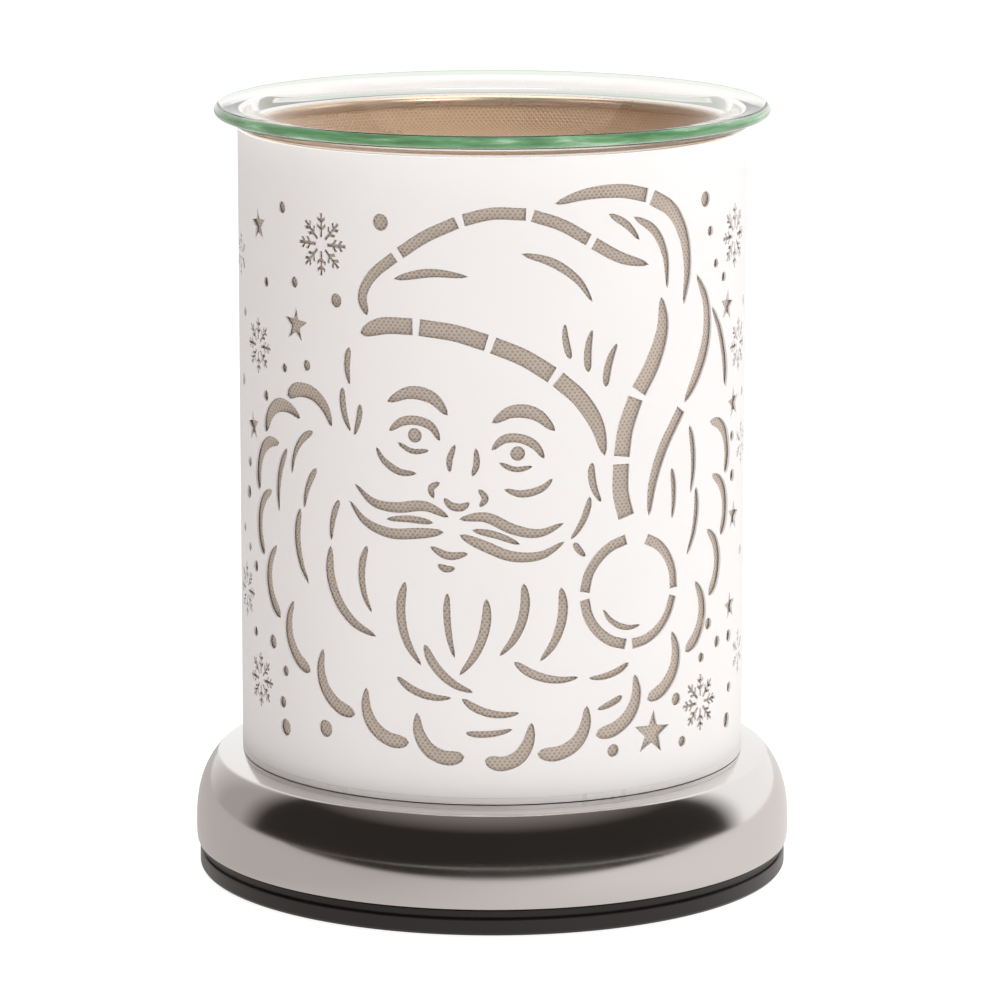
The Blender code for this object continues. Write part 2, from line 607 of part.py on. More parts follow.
def edge_locks(edge, side):
    """Feather-like locks along the beard's edge. side is 1 where the inside is on the route's left."""
    found = []
    for (x0, y0), (x1, y1) in zip(edge, edge[1:]):
        dx, dy = x1 - x0, y1 - y0
        size = math.hypot(dx, dy)
        ux, uy = dx / size, dy / size
        nx, ny = -uy * side, ux * side
        route = []
        for along, inward in ((-0.04, 7.6), (0.06, 3.4), (0.28, 0.4), (0.60, -0.6), (0.92, 0.6)):
            route.append((x0 + dx * along + nx * inward, y0 + dy * along + ny * inward))
        found.append((EDGE_LOCK_WIDTH, 0.6, 0.2, route))
    return found


def figure_strokes():
    """The strokes whose places are fixed."""
    strokes = CAP + BAND
    strokes += [arc(BOBBLE_CENTRE, BOBBLE_RADIUS, a, b, 2.3) for a, b in BOBBLE_ARCS]
    strokes.append(arc(BOBBLE_CENTRE, BOBBLE_RADIUS - 3.6, 205, 285, 1.3, 0.5))
    for side in (-1, 1):
        for width, start, end, route in FACE_SIDE:
            strokes.append((width, start, end, [head_point(side * u, v) for u, v in route]))
    strokes += [(w, a, b, [head_point(*p) for p in route]) for w, a, b, route in FACE_MIDDLE]
    strokes += edge_locks(EDGE_LEFT, 1) + edge_locks(EDGE_RIGHT, -1)
    return strokes


def extent(outline, margin=0.0):
    across, up = [x for x, y in outline], [y for x, y in outline]
    return min(across) - margin, min(up) - margin, max(across) + margin, max(up) + margin


def distance(point, a, b):
    dx, dy = b[0] - a[0], b[1] - a[1]
    reach = max(0.0, min(1.0, ((point[0] - a[0]) * dx + (point[1] - a[1]) * dy) / (dx * dx + dy * dy + 1e-9)))
    return math.hypot(point[0] - a[0] - reach * dx, point[1] - a[1] - reach * dy)


def too_close(outline, kept):
    """Whether less than BRIDGE of steel would be left between this cutout and one of those kept already."""
    low_x, low_y, high_x, high_y = extent(outline, BRIDGE)
    for other in kept:
        left, bottom, right, top = extent(other)
        if left > high_x or right < low_x or bottom > high_y or top < low_y:
            continue
        for one, two in ((outline, other), (other, outline)):
            sides = list(zip(two, two[1:] + two[:1]))
            if any(distance(point, a, b) < BRIDGE for point in one for a, b in sides):
                return True
    return False


def fitted_locks():
    """Strokes of beard and hair, longest first. One that would touch a cutout is shortened, or left out."""
    kept = [stroke(*row, CHECK_STEPS) for row in figure_strokes()]
    rows = []
    for s, z, heading, length, bend, width in sorted(BEARD_LOCKS + TUFTS, key=lambda row: -row[3]):
        for share in LOCK_SHARES:
            row = lock(s, z, heading, length * share, bend * share, width)
            outline = stroke(*row, CHECK_STEPS)
            if not too_close(outline, kept):
                kept.append(outline)
                rows.append(row)
                break
    return rows


def bent(cutter):
    """Wraps a flat cutter round the shade: X becomes the way round, Y the height and Z the depth."""
    for vertex in cutter.data.vertices:
        way, height, depth = vertex.co
        turn = way / (SHADE_RADIUS * MM)
        radius = SHADE_RADIUS * MM + depth
        vertex.co = (radius * math.sin(turn), -radius * math.cos(turn), height)
    return cutter


def shade_cutouts():
    """One cutter for the bearded figure and the larger stars and round holes beside it."""
    outlines = [stroke(*row, 1) for row in figure_strokes() + fitted_locks()]
    outlines += [circle(PUPIL[2], head_point(side * PUPIL[0], PUPIL[1]), 6) for side in (-1, 1)]
    outlines += [star_outline(s, z, radius, turn) for s, z, radius, turn in STARS]
    outlines += [circle(radius, (s, z), 6) for s, z, radius in DOTS]
    return bent(as_mesh(flat_object("shade_cutouts", outlines, -CUTTER_DEPTH, CUTTER_DEPTH)))


# Seat, shade, liner and dish


def seat_plate(bench, chrome):
    """The pressed ring that stands on the cover: shade and liner sit on it and its collar locates them."""
    collar = [(COLLAR_INNER, SEAT_TOP), (COLLAR_INNER, COLLAR_TOP), (COLLAR_OUTER, COLLAR_TOP)]
    profile = [(STEM_HOLE, SEAT_TOP)] + collar + [(COLLAR_OUTER, SEAT_TOP), (SEAT_RADIUS, SEAT_TOP)]
    profile += [(SEAT_RADIUS, SEAT_BOTTOM), (STEM_HOLE, SEAT_BOTTOM)]
    return bench.keep(screw_object("seat_plate", profile, SEGMENTS), chrome)


def outer_shade(bench, white):
    inner = SHADE_RADIUS - SHADE_WALL
    profile = [(inner, SHADE_TOP), (SHADE_RADIUS, SHADE_TOP), (SHADE_RADIUS, SHADE_BOTTOM), (inner, SHADE_BOTTOM)]
    return cut(bench, bench.keep(screw_object("outer_shade", profile, SEGMENTS), white), shade_cutouts())


def inner_liner(bench, champagne):
    """A thin tube with a rolled bead round its top."""
    inner = LINER_RADIUS - LINER_WALL
    centre = (LINER_RADIUS - BEAD_RADIUS, LINER_TOP - BEAD_RADIUS)
    turns = [math.radians(a) for a in (210, 160, 120, 80, 40, 0)]
    bead = [(centre[0] + BEAD_RADIUS * math.cos(a), centre[1] + BEAD_RADIUS * math.sin(a)) for a in turns]
    profile = [(inner, centre[1] - BEAD_RADIUS)] + bead + [(LINER_RADIUS, SHADE_BOTTOM), (inner, SHADE_BOTTOM)]
    return bench.keep(screw_object("inner_liner", profile, SEGMENTS), champagne)


def glass_dish(bench, glass):
    """A wide flanged bowl. Its flange slopes up to a rounded edge that overhangs the shade."""
    edge_middle = DISH_TOP - DISH_EDGE / 2
    rest_height = SHADE_TOP + GAP + 0.2
    floor_bottom = DISH_FLOOR_TOP - DISH_WALL
    upper = [(0.0, DISH_FLOOR_TOP), (DISH_FLOOR_RADIUS, DISH_FLOOR_TOP), (36.0, DISH_FLOOR_TOP + 2.2)]
    upper += [(45.0, DISH_FLOOR_TOP + 7.4), (DISH_REST_RADIUS - 1.0, DISH_TOP - 2.4), (DISH_RADIUS - 1.2, DISH_TOP)]
    edge = [(DISH_RADIUS - 0.3, DISH_TOP - 0.5), (DISH_RADIUS, edge_middle), (DISH_RADIUS - 0.4, DISH_TOP - 2.3)]
    lower = [(DISH_RADIUS - 1.6, DISH_TOP - DISH_EDGE - 0.1), (DISH_REST_RADIUS + 1.2, rest_height)]
    lower += [(51.3, rest_height - 0.2), (46.2, DISH_FLOOR_TOP + 4.6), (37.0, floor_bottom + 2.0)]
    lower += [(DISH_FLOOR_RADIUS + 0.5, floor_bottom), (0.0, floor_bottom)]
    return bench.keep(screw_object("glass_dish", upper + edge + lower, SEGMENTS), glass)


# Central fixing and lampholder


def threaded_stem(bench, steel):
    profile = [(STEM_BORE, STEM_TOP), (STEM_RADIUS - 0.4, STEM_TOP), (STEM_RADIUS, STEM_TOP - 0.5)]
    profile += [(STEM_RADIUS, STEM_BOTTOM + 0.5), (STEM_RADIUS - 0.4, STEM_BOTTOM), (STEM_BORE, STEM_BOTTOM)]
    return bench.keep(screw_object("threaded_stem", profile, SMALL_SEGMENTS), steel)


def stem_nut(bench, name, low, steel):
    hexagon = circle(NUT_FLATS / math.sqrt(3), count=6)
    nut = flat_object(name, [hexagon, circle(STEM_HOLE)], low, low + NUT_HEIGHT)
    return bench.keep(as_mesh(nut), steel)


def lock_washer(bench, steel):
    low = BRACKET_BOTTOM + BRACKET_THICK + GAP
    outline = []
    teeth = 12
    for step in range(2 * teeth):
        reach = 7.6 if step % 2 else 6.7
        turn = math.pi * step / teeth
        outline.append((reach * math.cos(turn), reach * math.sin(turn)))
    washer = flat_object("lock_washer", [outline, circle(STEM_HOLE)], low, low + 0.7)
    return bench.keep(as_mesh(washer), steel)


def lamp_bracket(bench, steel):
    half, thick, lip = BRACKET_HALF_WIDTH, BRACKET_THICK, BRACKET_LIP
    right = [(half, BRACKET_BOTTOM), (half, BRACKET_TOP), (half - lip, BRACKET_TOP)]
    right.append((half - lip, BRACKET_TOP - thick))
    right += [(half - thick, BRACKET_TOP - thick), (half - thick, BRACKET_BOTTOM + thick)]
    left = [(-x, z) for x, z in right[::-1]]
    bracket = flat_object("lamp_bracket", [right + left], -BRACKET_DEPTH / 2, BRACKET_DEPTH / 2)
    bracket.rotation_euler = (math.pi / 2, 0.0, 0.0)
    bracket = as_mesh(bracket)
    cutters = [rod_object("bracket_stem_hole", STEM_HOLE, BRACKET_BOTTOM - 1.0, BRACKET_BOTTOM + thick + 1.0)]
    low, high = BRACKET_TOP - 3.0, BRACKET_TOP + 1.0
    for side in (-1, 1):
        centre = (side * HOLDER_SCREW_X, 0.0)
        cutters.append(rod_object(f"bracket_screw_hole_{side}", SCREW_HOLE_RADIUS, low, high, centre))
    return cut(bench, bench.keep(bracket, steel), *cutters)


def lampholder(bench, ceramic):
    """A ceramic body with two keyhole slots: a pin drops in at the wide end and locks at the narrow end."""
    profile = [(0.0, HOLDER_TOP), (HOLDER_RADIUS - 1.0, HOLDER_TOP), (HOLDER_RADIUS, HOLDER_TOP - 1.0)]
    profile += [(HOLDER_RADIUS, HOLDER_BOTTOM), (0.0, HOLDER_BOTTOM)]
    body = bench.keep(screw_object("lampholder_body", profile, SMALL_SEGMENTS * 2), ceramic)
    above = HOLDER_TOP + 1.0
    cutters = []
    for number, start in enumerate((90.0, 270.0), start=1):
        end = start + TWIST_DEGREES
        chamber = arc_slot(PIN_CIRCLE, PIN_HEAD_RADIUS + GAP, start, end)
        lip = arc_slot(PIN_CIRCLE, PIN_RADIUS + GAP, start, end)
        entry = (PIN_CIRCLE * math.cos(math.radians(end)), PIN_CIRCLE * math.sin(math.radians(end)))
        cutters.append(as_mesh(flat_object(f"pin_chamber_{number}", [chamber], SLOT_FLOOR, SLOT_LIP_BOTTOM)))
        cutters.append(as_mesh(flat_object(f"pin_slot_{number}", [lip], SLOT_FLOOR + 1.0, above)))
        cutters.append(rod_object(f"pin_entry_{number}", PIN_ENTRY_RADIUS, SLOT_FLOOR + 2.0, above + 1.0, entry))
        low, side = HOLDER_BOTTOM - 1.0, (-1) ** number
        screw_centre, wire_centre = (side * HOLDER_SCREW_X, 0.0), (side * LAMP_WIRE_X, 0.0)
        cutters.append(rod_object(f"holder_screw_hole_{number}", SCREW_HOLE_RADIUS, low, low + 9.0, screw_centre))
        cutters.append(rod_object(f"holder_wire_hole_{number}", WIRE_RADIUS + GAP, low, low + 6.0, wire_centre))
    return cut(bench, body, *cutters)


def holder_contacts(bench, brass):
    for number, side in enumerate((1, -1), start=1):
        low = (-1.6, side * PIN_CIRCLE - 1.6, SLOT_FLOOR + GAP)
        high = (1.6, side * PIN_CIRCLE + 1.6, SLOT_FLOOR + GAP + 1.0)
        bench.keep(box_object(f"holder_contact_{number}", low, high), brass)


def holder_screws(bench, steel):
    head_top = BRACKET_TOP - BRACKET_THICK - GAP
    tip = HOLDER_BOTTOM + 6.5
    profile = [(0.0, tip), (1.2, tip - 0.5), (1.5, tip - 1.0), (1.5, head_top)]
    profile += [(2.8, head_top), (2.6, head_top - 1.3), (2.0, head_top - 1.8), (0.0, head_top - 1.8)]
    for number, side in enumerate((-1, 1), start=1):
        screw = screw_object(f"holder_screw_{number}", profile, SMALL_SEGMENTS)
        screw.location = metres(side * HOLDER_SCREW_X, 0.0, 0.0)
        bench.keep(screw, steel)


# Lamp


def lamp(bench, ceramic, glass, mirror, steel):
    """A reflector lamp with two mushroom-headed pins. It turns about Z to lock and to come free."""
    base = [(0.0, LAMP_NECK_TOP), (11.0, LAMP_NECK_TOP), (12.2, 69.0), (12.6, 63.0), (12.6, LAMP_BOTTOM)]
    base.append((0.0, LAMP_BOTTOM))
    bench.keep(screw_object("lamp_base", base, SMALL_SEGMENTS * 2), ceramic)
    low = LAMP_NECK_TOP + GAP
    outer = [(LAMP_RADIUS, LAMP_TOP), (LAMP_RADIUS, LAMP_TOP - 3.0), (23.4, 104.0), (20.2, 94.0), (15.6, 84.0)]
    outer.append((11.8, low))
    inner = [(8.4, low), (8.4, low + 2.0), (14.0, 85.5), (18.6, 95.0), (21.8, 104.6), (23.6, LAMP_TOP)]
    bench.keep(screw_object("lamp_reflector", outer + inner, SMALL_SEGMENTS * 2), mirror)
    window = [(0.0, LAMP_TOP + GAP + 1.8), (24.2, LAMP_TOP + GAP + 1.6), (24.6, LAMP_TOP + GAP)]
    window.append((0.0, LAMP_TOP + GAP))
    bench.keep(screw_object("lamp_window", window, SMALL_SEGMENTS * 2), glass)
    capsule = [(0.0, 99.0), (1.4, 98.2), (3.6, 96.5), (4.2, 94.0), (4.2, 80.0), (3.2, low), (0.0, low)]
    bench.keep(screw_object("lamp_capsule", capsule, SMALL_SEGMENTS), glass)
    pin = [(0.0, LAMP_BOTTOM - GAP / 3), (PIN_RADIUS, LAMP_BOTTOM - GAP / 3), (PIN_RADIUS, PIN_HEAD_TOP)]
    pin += [(PIN_HEAD_RADIUS, PIN_HEAD_TOP), (PIN_HEAD_RADIUS, PIN_BOTTOM + 0.6), (1.8, PIN_BOTTOM)]
    pin.append((0.0, PIN_BOTTOM))
    for number, side in enumerate((1, -1), start=1):
        made = screw_object(f"lamp_pin_{number}", pin, SMALL_SEGMENTS)
        made.location = metres(0.0, side * PIN_CIRCLE, 0.0)
        bench.keep(made, steel)


# Switching parts


def module_box(inset, low, high):
    size = (MODULE_SIZE[0] - 2 * inset, MODULE_SIZE[1] - 2 * inset)
    corner = rectangle(MODULE_CENTRE, size)
    return (*corner[0], low), (*corner[2], high)


def touch_module(bench, grey, board_green, black, blue):
    """The sensor and dimmer: a tray with a lid, and a circuit board that carries its parts."""
    top = MODULE_BOTTOM + MODULE_HEIGHT
    tray = bench.keep(box_object("module_case", *module_box(0.0, MODULE_BOTTOM, top)), grey)
    hollow = box_object("module_hollow", *module_box(MODULE_WALL, MODULE_BOTTOM + MODULE_WALL, top + 1.0))
    x, y = MODULE_CENTRE
    front = y - MODULE_SIZE[1] / 2
    gate_low, gate_high = (x - 12.0, front - 1.0, top - 3.0), (x + 12.0, front + 2.0, top + 1.0)
    wire_gate = box_object("module_wire_gate", gate_low, gate_high)
    cut(bench, tray, hollow, wire_gate)
    bench.keep(box_object("module_lid", *module_box(0.0, top + GAP, top + GAP + 1.4)), grey)
    board_bottom = MODULE_BOTTOM + MODULE_WALL + 1.0
    board_top = board_bottom + 1.6
    bench.keep(box_object("circuit_board", *module_box(MODULE_WALL + 0.6, board_bottom, board_top)), board_green)
    triac = box_object("triac", (x - 17.0, y - 3.0, board_top + GAP), (x - 13.0, y + 6.0, board_top + 7.0))
    bench.keep(triac, black)
    capacitor = rod_object("capacitor", 3.4, board_top + GAP, board_top + 7.4, (x + 14.0, y + 3.0))
    bench.keep(capacitor, blue)
    chip = box_object("sensor_chip", (x - 5.0, y - 1.0, board_top + GAP), (x + 4.0, y + 5.5, board_top + 3.2))
    bench.keep(chip, black)


def terminal_block(bench, white, brass):
    x, y = TERMINAL_CENTRE
    half_x, half_y, height = TERMINAL_SIZE[0] / 2, TERMINAL_SIZE[1] / 2, TERMINAL_SIZE[2]
    low, high = MODULE_BOTTOM, MODULE_BOTTOM + height
    block = box_object("terminal_block", (x - half_x, y - half_y, low), (x + half_x, y + half_y, high))
    cutters = []
    for number, side in enumerate((-1, 0, 1), start=1):
        centre = (x + side * 8.0, y)
        cutters.append(rod_object(f"terminal_well_{number}", 2.2, high - 6.0, high + 1.0, centre, 12))
        screw = rod_object(f"terminal_screw_{number}", 1.8, high - 5.6, high - 1.6, centre, 12)
        groove_low = (centre[0] - 3.0, y - 0.3, high - 2.3)
        groove = box_object(f"terminal_screw_groove_{number}", groove_low, (centre[0] + 3.0, y + 0.3, high))
        cut(bench, bench.keep(screw, brass), groove)
    return cut(bench, bench.keep(block, white), *cutters)


def wires(bench, brown, blue, green):
    """Single cores inside the base, and the two that rise through the stem to the lampholder."""
    holder = HOLDER_BOTTOM + 4.0
    gate = MODULE_BOTTOM + MODULE_HEIGHT - 1.5
    terminal_back = TERMINAL_CENTRE[1] + TERMINAL_SIZE[1] / 2 + GAP
    module_front = MODULE_CENTRE[1] - MODULE_SIZE[1] / 2 + MODULE_WALL + 0.6
    live = [(-LAMP_WIRE_X, 0.0, holder), (-LAMP_WIRE_X, 0.0, 30.0), (-LAMP_WIRE_X, 0.0, 19.0), (-2.6, 3.0, 16.2)]
    live += [(-4.0, 8.0, 15.6), (-4.0, module_front - 2.0, gate), (-4.0, module_front, gate)]
    neutral = [(LAMP_WIRE_X, 0.0, holder), (LAMP_WIRE_X, 0.0, 30.0), (LAMP_WIRE_X, 0.0, 19.0), (2.6, -4.0, 14.0)]
    neutral += [(6.0, -12.0, 10.5), (8.0, terminal_back + 3.0, 9.5), (8.0, terminal_back, 9.5)]
    feed = [(-8.0, terminal_back, 9.5), (-8.0, terminal_back + 3.0, 9.5), (-14.0, -12.0, 7.0)]
    feed += [(-15.0, -2.0, 8.0), (-10.0, 9.0, 13.5), (-8.0, module_front - 2.0, gate), (-8.0, module_front, gate)]
    sense = [(4.0, module_front, gate), (4.0, module_front - 2.0, gate), (8.0, 11.6, 17.0)]
    sense += [(14.0, 10.2, 18.6), (15.4, 9.4, 18.8)]
    bench.keep(wire_object("lamp_wire_live", live, WIRE_RADIUS), brown)
    bench.keep(wire_object("lamp_wire_neutral", neutral, WIRE_RADIUS), blue)
    bench.keep(wire_object("module_feed_wire", feed, WIRE_RADIUS), brown)
    bench.keep(wire_object("touch_sense_wire", sense, WIRE_RADIUS), green)


def sense_tag(bench, brass):
    """The ring tag that joins the sensor's wire to the metal body, clamped under the lower nut."""
    low = STRAP_TOP - STRAP_THICK - GAP - 0.8
    tongue = [(6.2, 2.8), (13.0, 7.2), (16.4, 8.2), (16.4, 10.6), (12.2, 10.4), (3.6, 5.8)]
    ring = [(6.8 * math.cos(a), 6.8 * math.sin(a)) for a in (math.radians(58 + 24 * i) for i in range(14))]
    tag = flat_object("sense_tag", [tongue + ring[1:], circle(STEM_HOLE)], low, low + 0.8)
    return bench.keep(as_mesh(tag), brass)


def build():
    clear_scene()
    bench = Bench()
    white = material("white powder coat", WHITE, 0.5)
    champagne = material("champagne steel", CHAMPAGNE, 0.35, metallic=1.0)
    chrome = material("chrome", CHROME, 0.16, metallic=1.0)
    black = material("black plastic", BLACK, 0.35)
    rubber = material("rubber", BLACK, 0.85)
    glass = material("glass", GLASS, 0.02, transmission=1.0)
    steel = material("zinc plated steel", STEEL, 0.35, metallic=1.0)
    brass = material("brass", BRASS, 0.3, metallic=1.0)
    ceramic = material("ceramic", CERAMIC, 0.5)
    mirror = material("reflector", CHROME, 0.08, metallic=1.0)
    grey = material("grey plastic", (0.30, 0.31, 0.33, 1.0), 0.5)
    board_green = material("circuit board green", (0.03, 0.16, 0.06, 1.0), 0.4)
    blue = material("blue sleeve", (0.04, 0.12, 0.45, 1.0), 0.5)
    brown = material("brown sleeve", (0.22, 0.09, 0.03, 1.0), 0.5)
    green = material("green sleeve", (0.05, 0.30, 0.08, 1.0), 0.5)

    base_plate(bench, black)
    foot_pads(bench, rubber)
    base_screws(bench, steel)
    base_strap(bench, steel)
    cord_gland(bench, rubber)
    base_cover(bench, chrome)
    seat_plate(bench, chrome)
    outer_shade(bench, white)
    inner_liner(bench, champagne)
    glass_dish(bench, glass)
    threaded_stem(bench, steel)
    lock_washer(bench, steel)
    stem_nut(bench, "upper_nut", BRACKET_BOTTOM + BRACKET_THICK + 2 * GAP + 0.7, steel)
    sense_tag(bench, brass)
    stem_nut(bench, "lower_nut", STRAP_TOP - STRAP_THICK - 2 * GAP - 0.8 - NUT_HEIGHT, steel)
    lamp_bracket(bench, steel)
    lampholder(bench, ceramic)
    holder_contacts(bench, brass)
    holder_screws(bench, steel)
    lamp(bench, ceramic, glass, mirror, steel)
    touch_module(bench, grey, board_green, black, blue)
    terminal_block(bench, white, brass)
    wires(bench, brown, blue, green)


build()
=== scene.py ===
"""Looks of the electric wax warmer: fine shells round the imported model, their materials, light and camera.

Pattern and profile lengths are millimetres and become metres through MM. +Z is up and the front faces -Y.
"""

import json
import math
import random

import bmesh
import bpy
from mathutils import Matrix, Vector
from mathutils.geometry import delaunay_2d_cdt

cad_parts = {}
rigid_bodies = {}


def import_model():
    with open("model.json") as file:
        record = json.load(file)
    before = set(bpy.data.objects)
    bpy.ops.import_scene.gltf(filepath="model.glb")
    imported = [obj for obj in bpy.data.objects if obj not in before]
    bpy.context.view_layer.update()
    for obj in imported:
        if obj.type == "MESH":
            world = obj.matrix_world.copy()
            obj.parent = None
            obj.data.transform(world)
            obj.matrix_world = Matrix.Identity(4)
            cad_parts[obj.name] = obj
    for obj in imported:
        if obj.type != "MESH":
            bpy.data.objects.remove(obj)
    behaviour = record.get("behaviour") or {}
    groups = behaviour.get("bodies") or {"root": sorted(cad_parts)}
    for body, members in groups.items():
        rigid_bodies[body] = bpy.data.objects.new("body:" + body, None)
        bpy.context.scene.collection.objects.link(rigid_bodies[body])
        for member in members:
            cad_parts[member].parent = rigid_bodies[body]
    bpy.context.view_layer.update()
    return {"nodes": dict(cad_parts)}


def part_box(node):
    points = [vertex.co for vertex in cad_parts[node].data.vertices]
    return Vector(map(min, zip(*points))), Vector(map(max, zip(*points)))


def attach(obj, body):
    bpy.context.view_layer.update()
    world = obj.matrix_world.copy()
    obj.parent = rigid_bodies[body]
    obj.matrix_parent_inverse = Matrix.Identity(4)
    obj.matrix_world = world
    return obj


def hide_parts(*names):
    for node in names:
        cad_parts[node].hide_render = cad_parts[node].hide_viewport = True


MM = 0.001
ROUND_STEPS = 192
SHARP_ANGLE = math.radians(30)

for leftover in list(bpy.data.objects):
    bpy.data.objects.remove(leftover)

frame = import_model()


def node_size(node):
    """Outer radius, lowest and highest height of a round node, in millimetres."""
    low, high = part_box(node)
    return high[0] / MM, low[2] / MM, high[2] / MM


SHADE_RADIUS, SHADE_BOTTOM, SHADE_TOP = node_size("outer_shade")
LINER_RADIUS, LINER_BOTTOM, LINER_TOP = node_size("inner_liner")
DISH_RADIUS, DISH_BOTTOM, DISH_TOP = node_size("glass_dish")
COVER_RADIUS, COVER_BOTTOM, COVER_TOP = node_size("base_cover")
SEAT_RADIUS, SEAT_BOTTOM, SEAT_HIGHEST = node_size("seat_plate")
PLATE_RADIUS, PLATE_BOTTOM, PLATE_HIGHEST = node_size("base_plate")
LAMP_RADIUS, LAMP_BOTTOM, LAMP_TOP = node_size("lamp_reflector")
SHADE_WALL = 0.45
LINER_WALL = 0.5
LINER_GAP = 0.25
LINER_FACE = SHADE_RADIUS - SHADE_WALL - LINER_GAP


def new_object(name, data):
    obj = bpy.data.objects.new(name, data)
    bpy.context.scene.collection.objects.link(obj)
    return obj


def finished_mesh(name, shape):
    mesh = bpy.data.meshes.new(name)
    shape.to_mesh(mesh)
    shape.free()
    return mesh


# Materials


def new_material(name):
    made = bpy.data.materials.new(name)
    made.use_nodes = True
    return made, made.node_tree.nodes, made.node_tree.links, made.node_tree.nodes["Principled BSDF"]


def set_shader(shader, **values):
    for name, value in values.items():
        shader.inputs[name.replace("_", " ")].default_value = value


def object_point(nodes):
    return nodes.new("ShaderNodeTexCoord").outputs["Object"]


def noise(nodes, links, scale, detail=3.0, roughness=0.55, stretch=None):
    """Noise over the object's own coordinates, with scale in cycles per metre."""
    texture = nodes.new("ShaderNodeTexNoise")
    texture.inputs["Scale"].default_value = scale
    texture.inputs["Detail"].default_value = detail
    texture.inputs["Roughness"].default_value = roughness
    place = object_point(nodes)
    if stretch:
        mapping = nodes.new("ShaderNodeMapping")
        mapping.inputs["Scale"].default_value = stretch
        links.new(place, mapping.inputs["Vector"])
        place = mapping.outputs["Vector"]
    links.new(place, texture.inputs["Vector"])
    return texture.outputs["Fac"]


def remap(nodes, links, value, low, high, to_low, to_high):
    node = nodes.new("ShaderNodeMapRange")
    for name, number in (("From Min", low), ("From Max", high), ("To Min", to_low), ("To Max", to_high)):
        node.inputs[name].default_value = number
    links.new(value, node.inputs["Value"])
    return node.outputs["Result"]


def math_node(nodes, links, operation, first, second=0.0, third=0.0):
    node = nodes.new("ShaderNodeMath")
    node.operation = operation
    for socket, value in zip(node.inputs, (first, second, third)):
        if isinstance(value, (int, float)):
            socket.default_value = value
        else:
            links.new(value, socket)
    return node.outputs[0]


def mix_colour(nodes, links, factor, first, second):
    node = nodes.new("ShaderNodeMix")
    node.data_type = "RGBA"
    links.new(factor, node.inputs["Factor"])
    for socket, value in ((node.inputs[6], first), (node.inputs[7], second)):
        if isinstance(value, tuple):
            socket.default_value = (*value, 1.0)
        else:
            links.new(value, socket)
    return node.outputs[2]


def bump(nodes, links, shader, height, strength, distance):
    node = nodes.new("ShaderNodeBump")
    node.inputs["Strength"].default_value = strength
    node.inputs["Distance"].default_value = distance
    links.new(height, node.inputs["Height"])
    links.new(node.outputs["Normal"], shader.inputs["Normal"])


def surface(name, dark, light, scale, rough, metallic=0.0, grain=(900.0, 0.15, 0.00005)):
    """A material whose colour and roughness drift between two values, with a fine grain."""
    made, nodes, links, shader = new_material(name)
    drift = noise(nodes, links, scale)
    links.new(mix_colour(nodes, links, drift, dark, light), shader.inputs["Base Color"])
    links.new(remap(nodes, links, drift, 0.3, 0.7, *rough), shader.inputs["Roughness"])
    shader.inputs["Metallic"].default_value = metallic
    grain_scale, strength, distance = grain
    bump(nodes, links, shader, noise(nodes, links, grain_scale), strength, distance)
    return made


# The liner's holes, in millimetres
HOLE_PITCH = 1.05
HOLE_ROW = 0.70
HOLE_RADIUS = 0.24
HOLE_BLUR = 0.08


def liner_material(name, hole_shade_colour, metal_dark, metal_light, rough, metallic):
    """Champagne lacquered sheet with staggered rows of small round holes, each painted darker: painted shade
    seen through the hole.
    """
    made, nodes, links, shader = new_material(name)
    split = nodes.new("ShaderNodeSeparateXYZ")
    links.new(object_point(nodes), split.inputs[0])
    turn = math_node(nodes, links, "ARCTAN2", split.outputs["X"], split.outputs["Y"])
    columns = round(2 * math.pi * LINER_RADIUS / HOLE_PITCH)
    row = math_node(nodes, links, "MULTIPLY", split.outputs["Z"], 1 / (HOLE_ROW * MM))
    row_cell = math_node(nodes, links, "FLOOR", row)
    odd_row = math_node(nodes, links, "FLOORED_MODULO", row_cell, 2.0)
    shift = math_node(nodes, links, "MULTIPLY", odd_row, 0.5)
    along = math_node(nodes, links, "MULTIPLY_ADD", turn, columns / (2 * math.pi), shift)
    along_cell = math_node(nodes, links, "FLOOR", along)
    dx = math_node(nodes, links, "SUBTRACT", math_node(nodes, links, "SUBTRACT", along, along_cell), 0.5)
    dz = math_node(nodes, links, "SUBTRACT", math_node(nodes, links, "SUBTRACT", row, row_cell), 0.5)
    dx = math_node(nodes, links, "MULTIPLY", dx, HOLE_PITCH)
    dz = math_node(nodes, links, "MULTIPLY", dz, HOLE_ROW)
    square = math_node(nodes, links, "MULTIPLY_ADD", dx, dx, math_node(nodes, links, "MULTIPLY", dz, dz))
    reach = math_node(nodes, links, "SQRT", square)
    solid = remap(nodes, links, reach, HOLE_RADIUS - HOLE_BLUR, HOLE_RADIUS + HOLE_BLUR, 0.0, 1.0)
    drift = noise(nodes, links, 60.0)
    metal = mix_colour(nodes, links, drift, metal_dark, metal_light)
    # Holes take a darker colour: painted shade seen through each hole.
    links.new(mix_colour(nodes, links, solid, hole_shade_colour, metal), shader.inputs["Base Color"])
    links.new(remap(nodes, links, drift, 0.3, 0.7, *rough), shader.inputs["Roughness"])
    shader.inputs["Metallic"].default_value = metallic
    bump(nodes, links, shader, solid, 0.6, 0.0002)
    return made


def white_coat_material():
    """White powder coat: a faint orange peel over a very even white."""
    made, nodes, links, shader = new_material("white powder coat")
    drift = noise(nodes, links, 35.0)
    white = mix_colour(nodes, links, drift, (0.800, 0.775, 0.765), (0.830, 0.806, 0.797))
    links.new(white, shader.inputs["Base Color"])
    links.new(remap(nodes, links, drift, 0.3, 0.7, 0.42, 0.50), shader.inputs["Roughness"])
    bump(nodes, links, shader, noise(nodes, links, 1400.0, detail=2.0), 0.08, 0.00006)
    return made


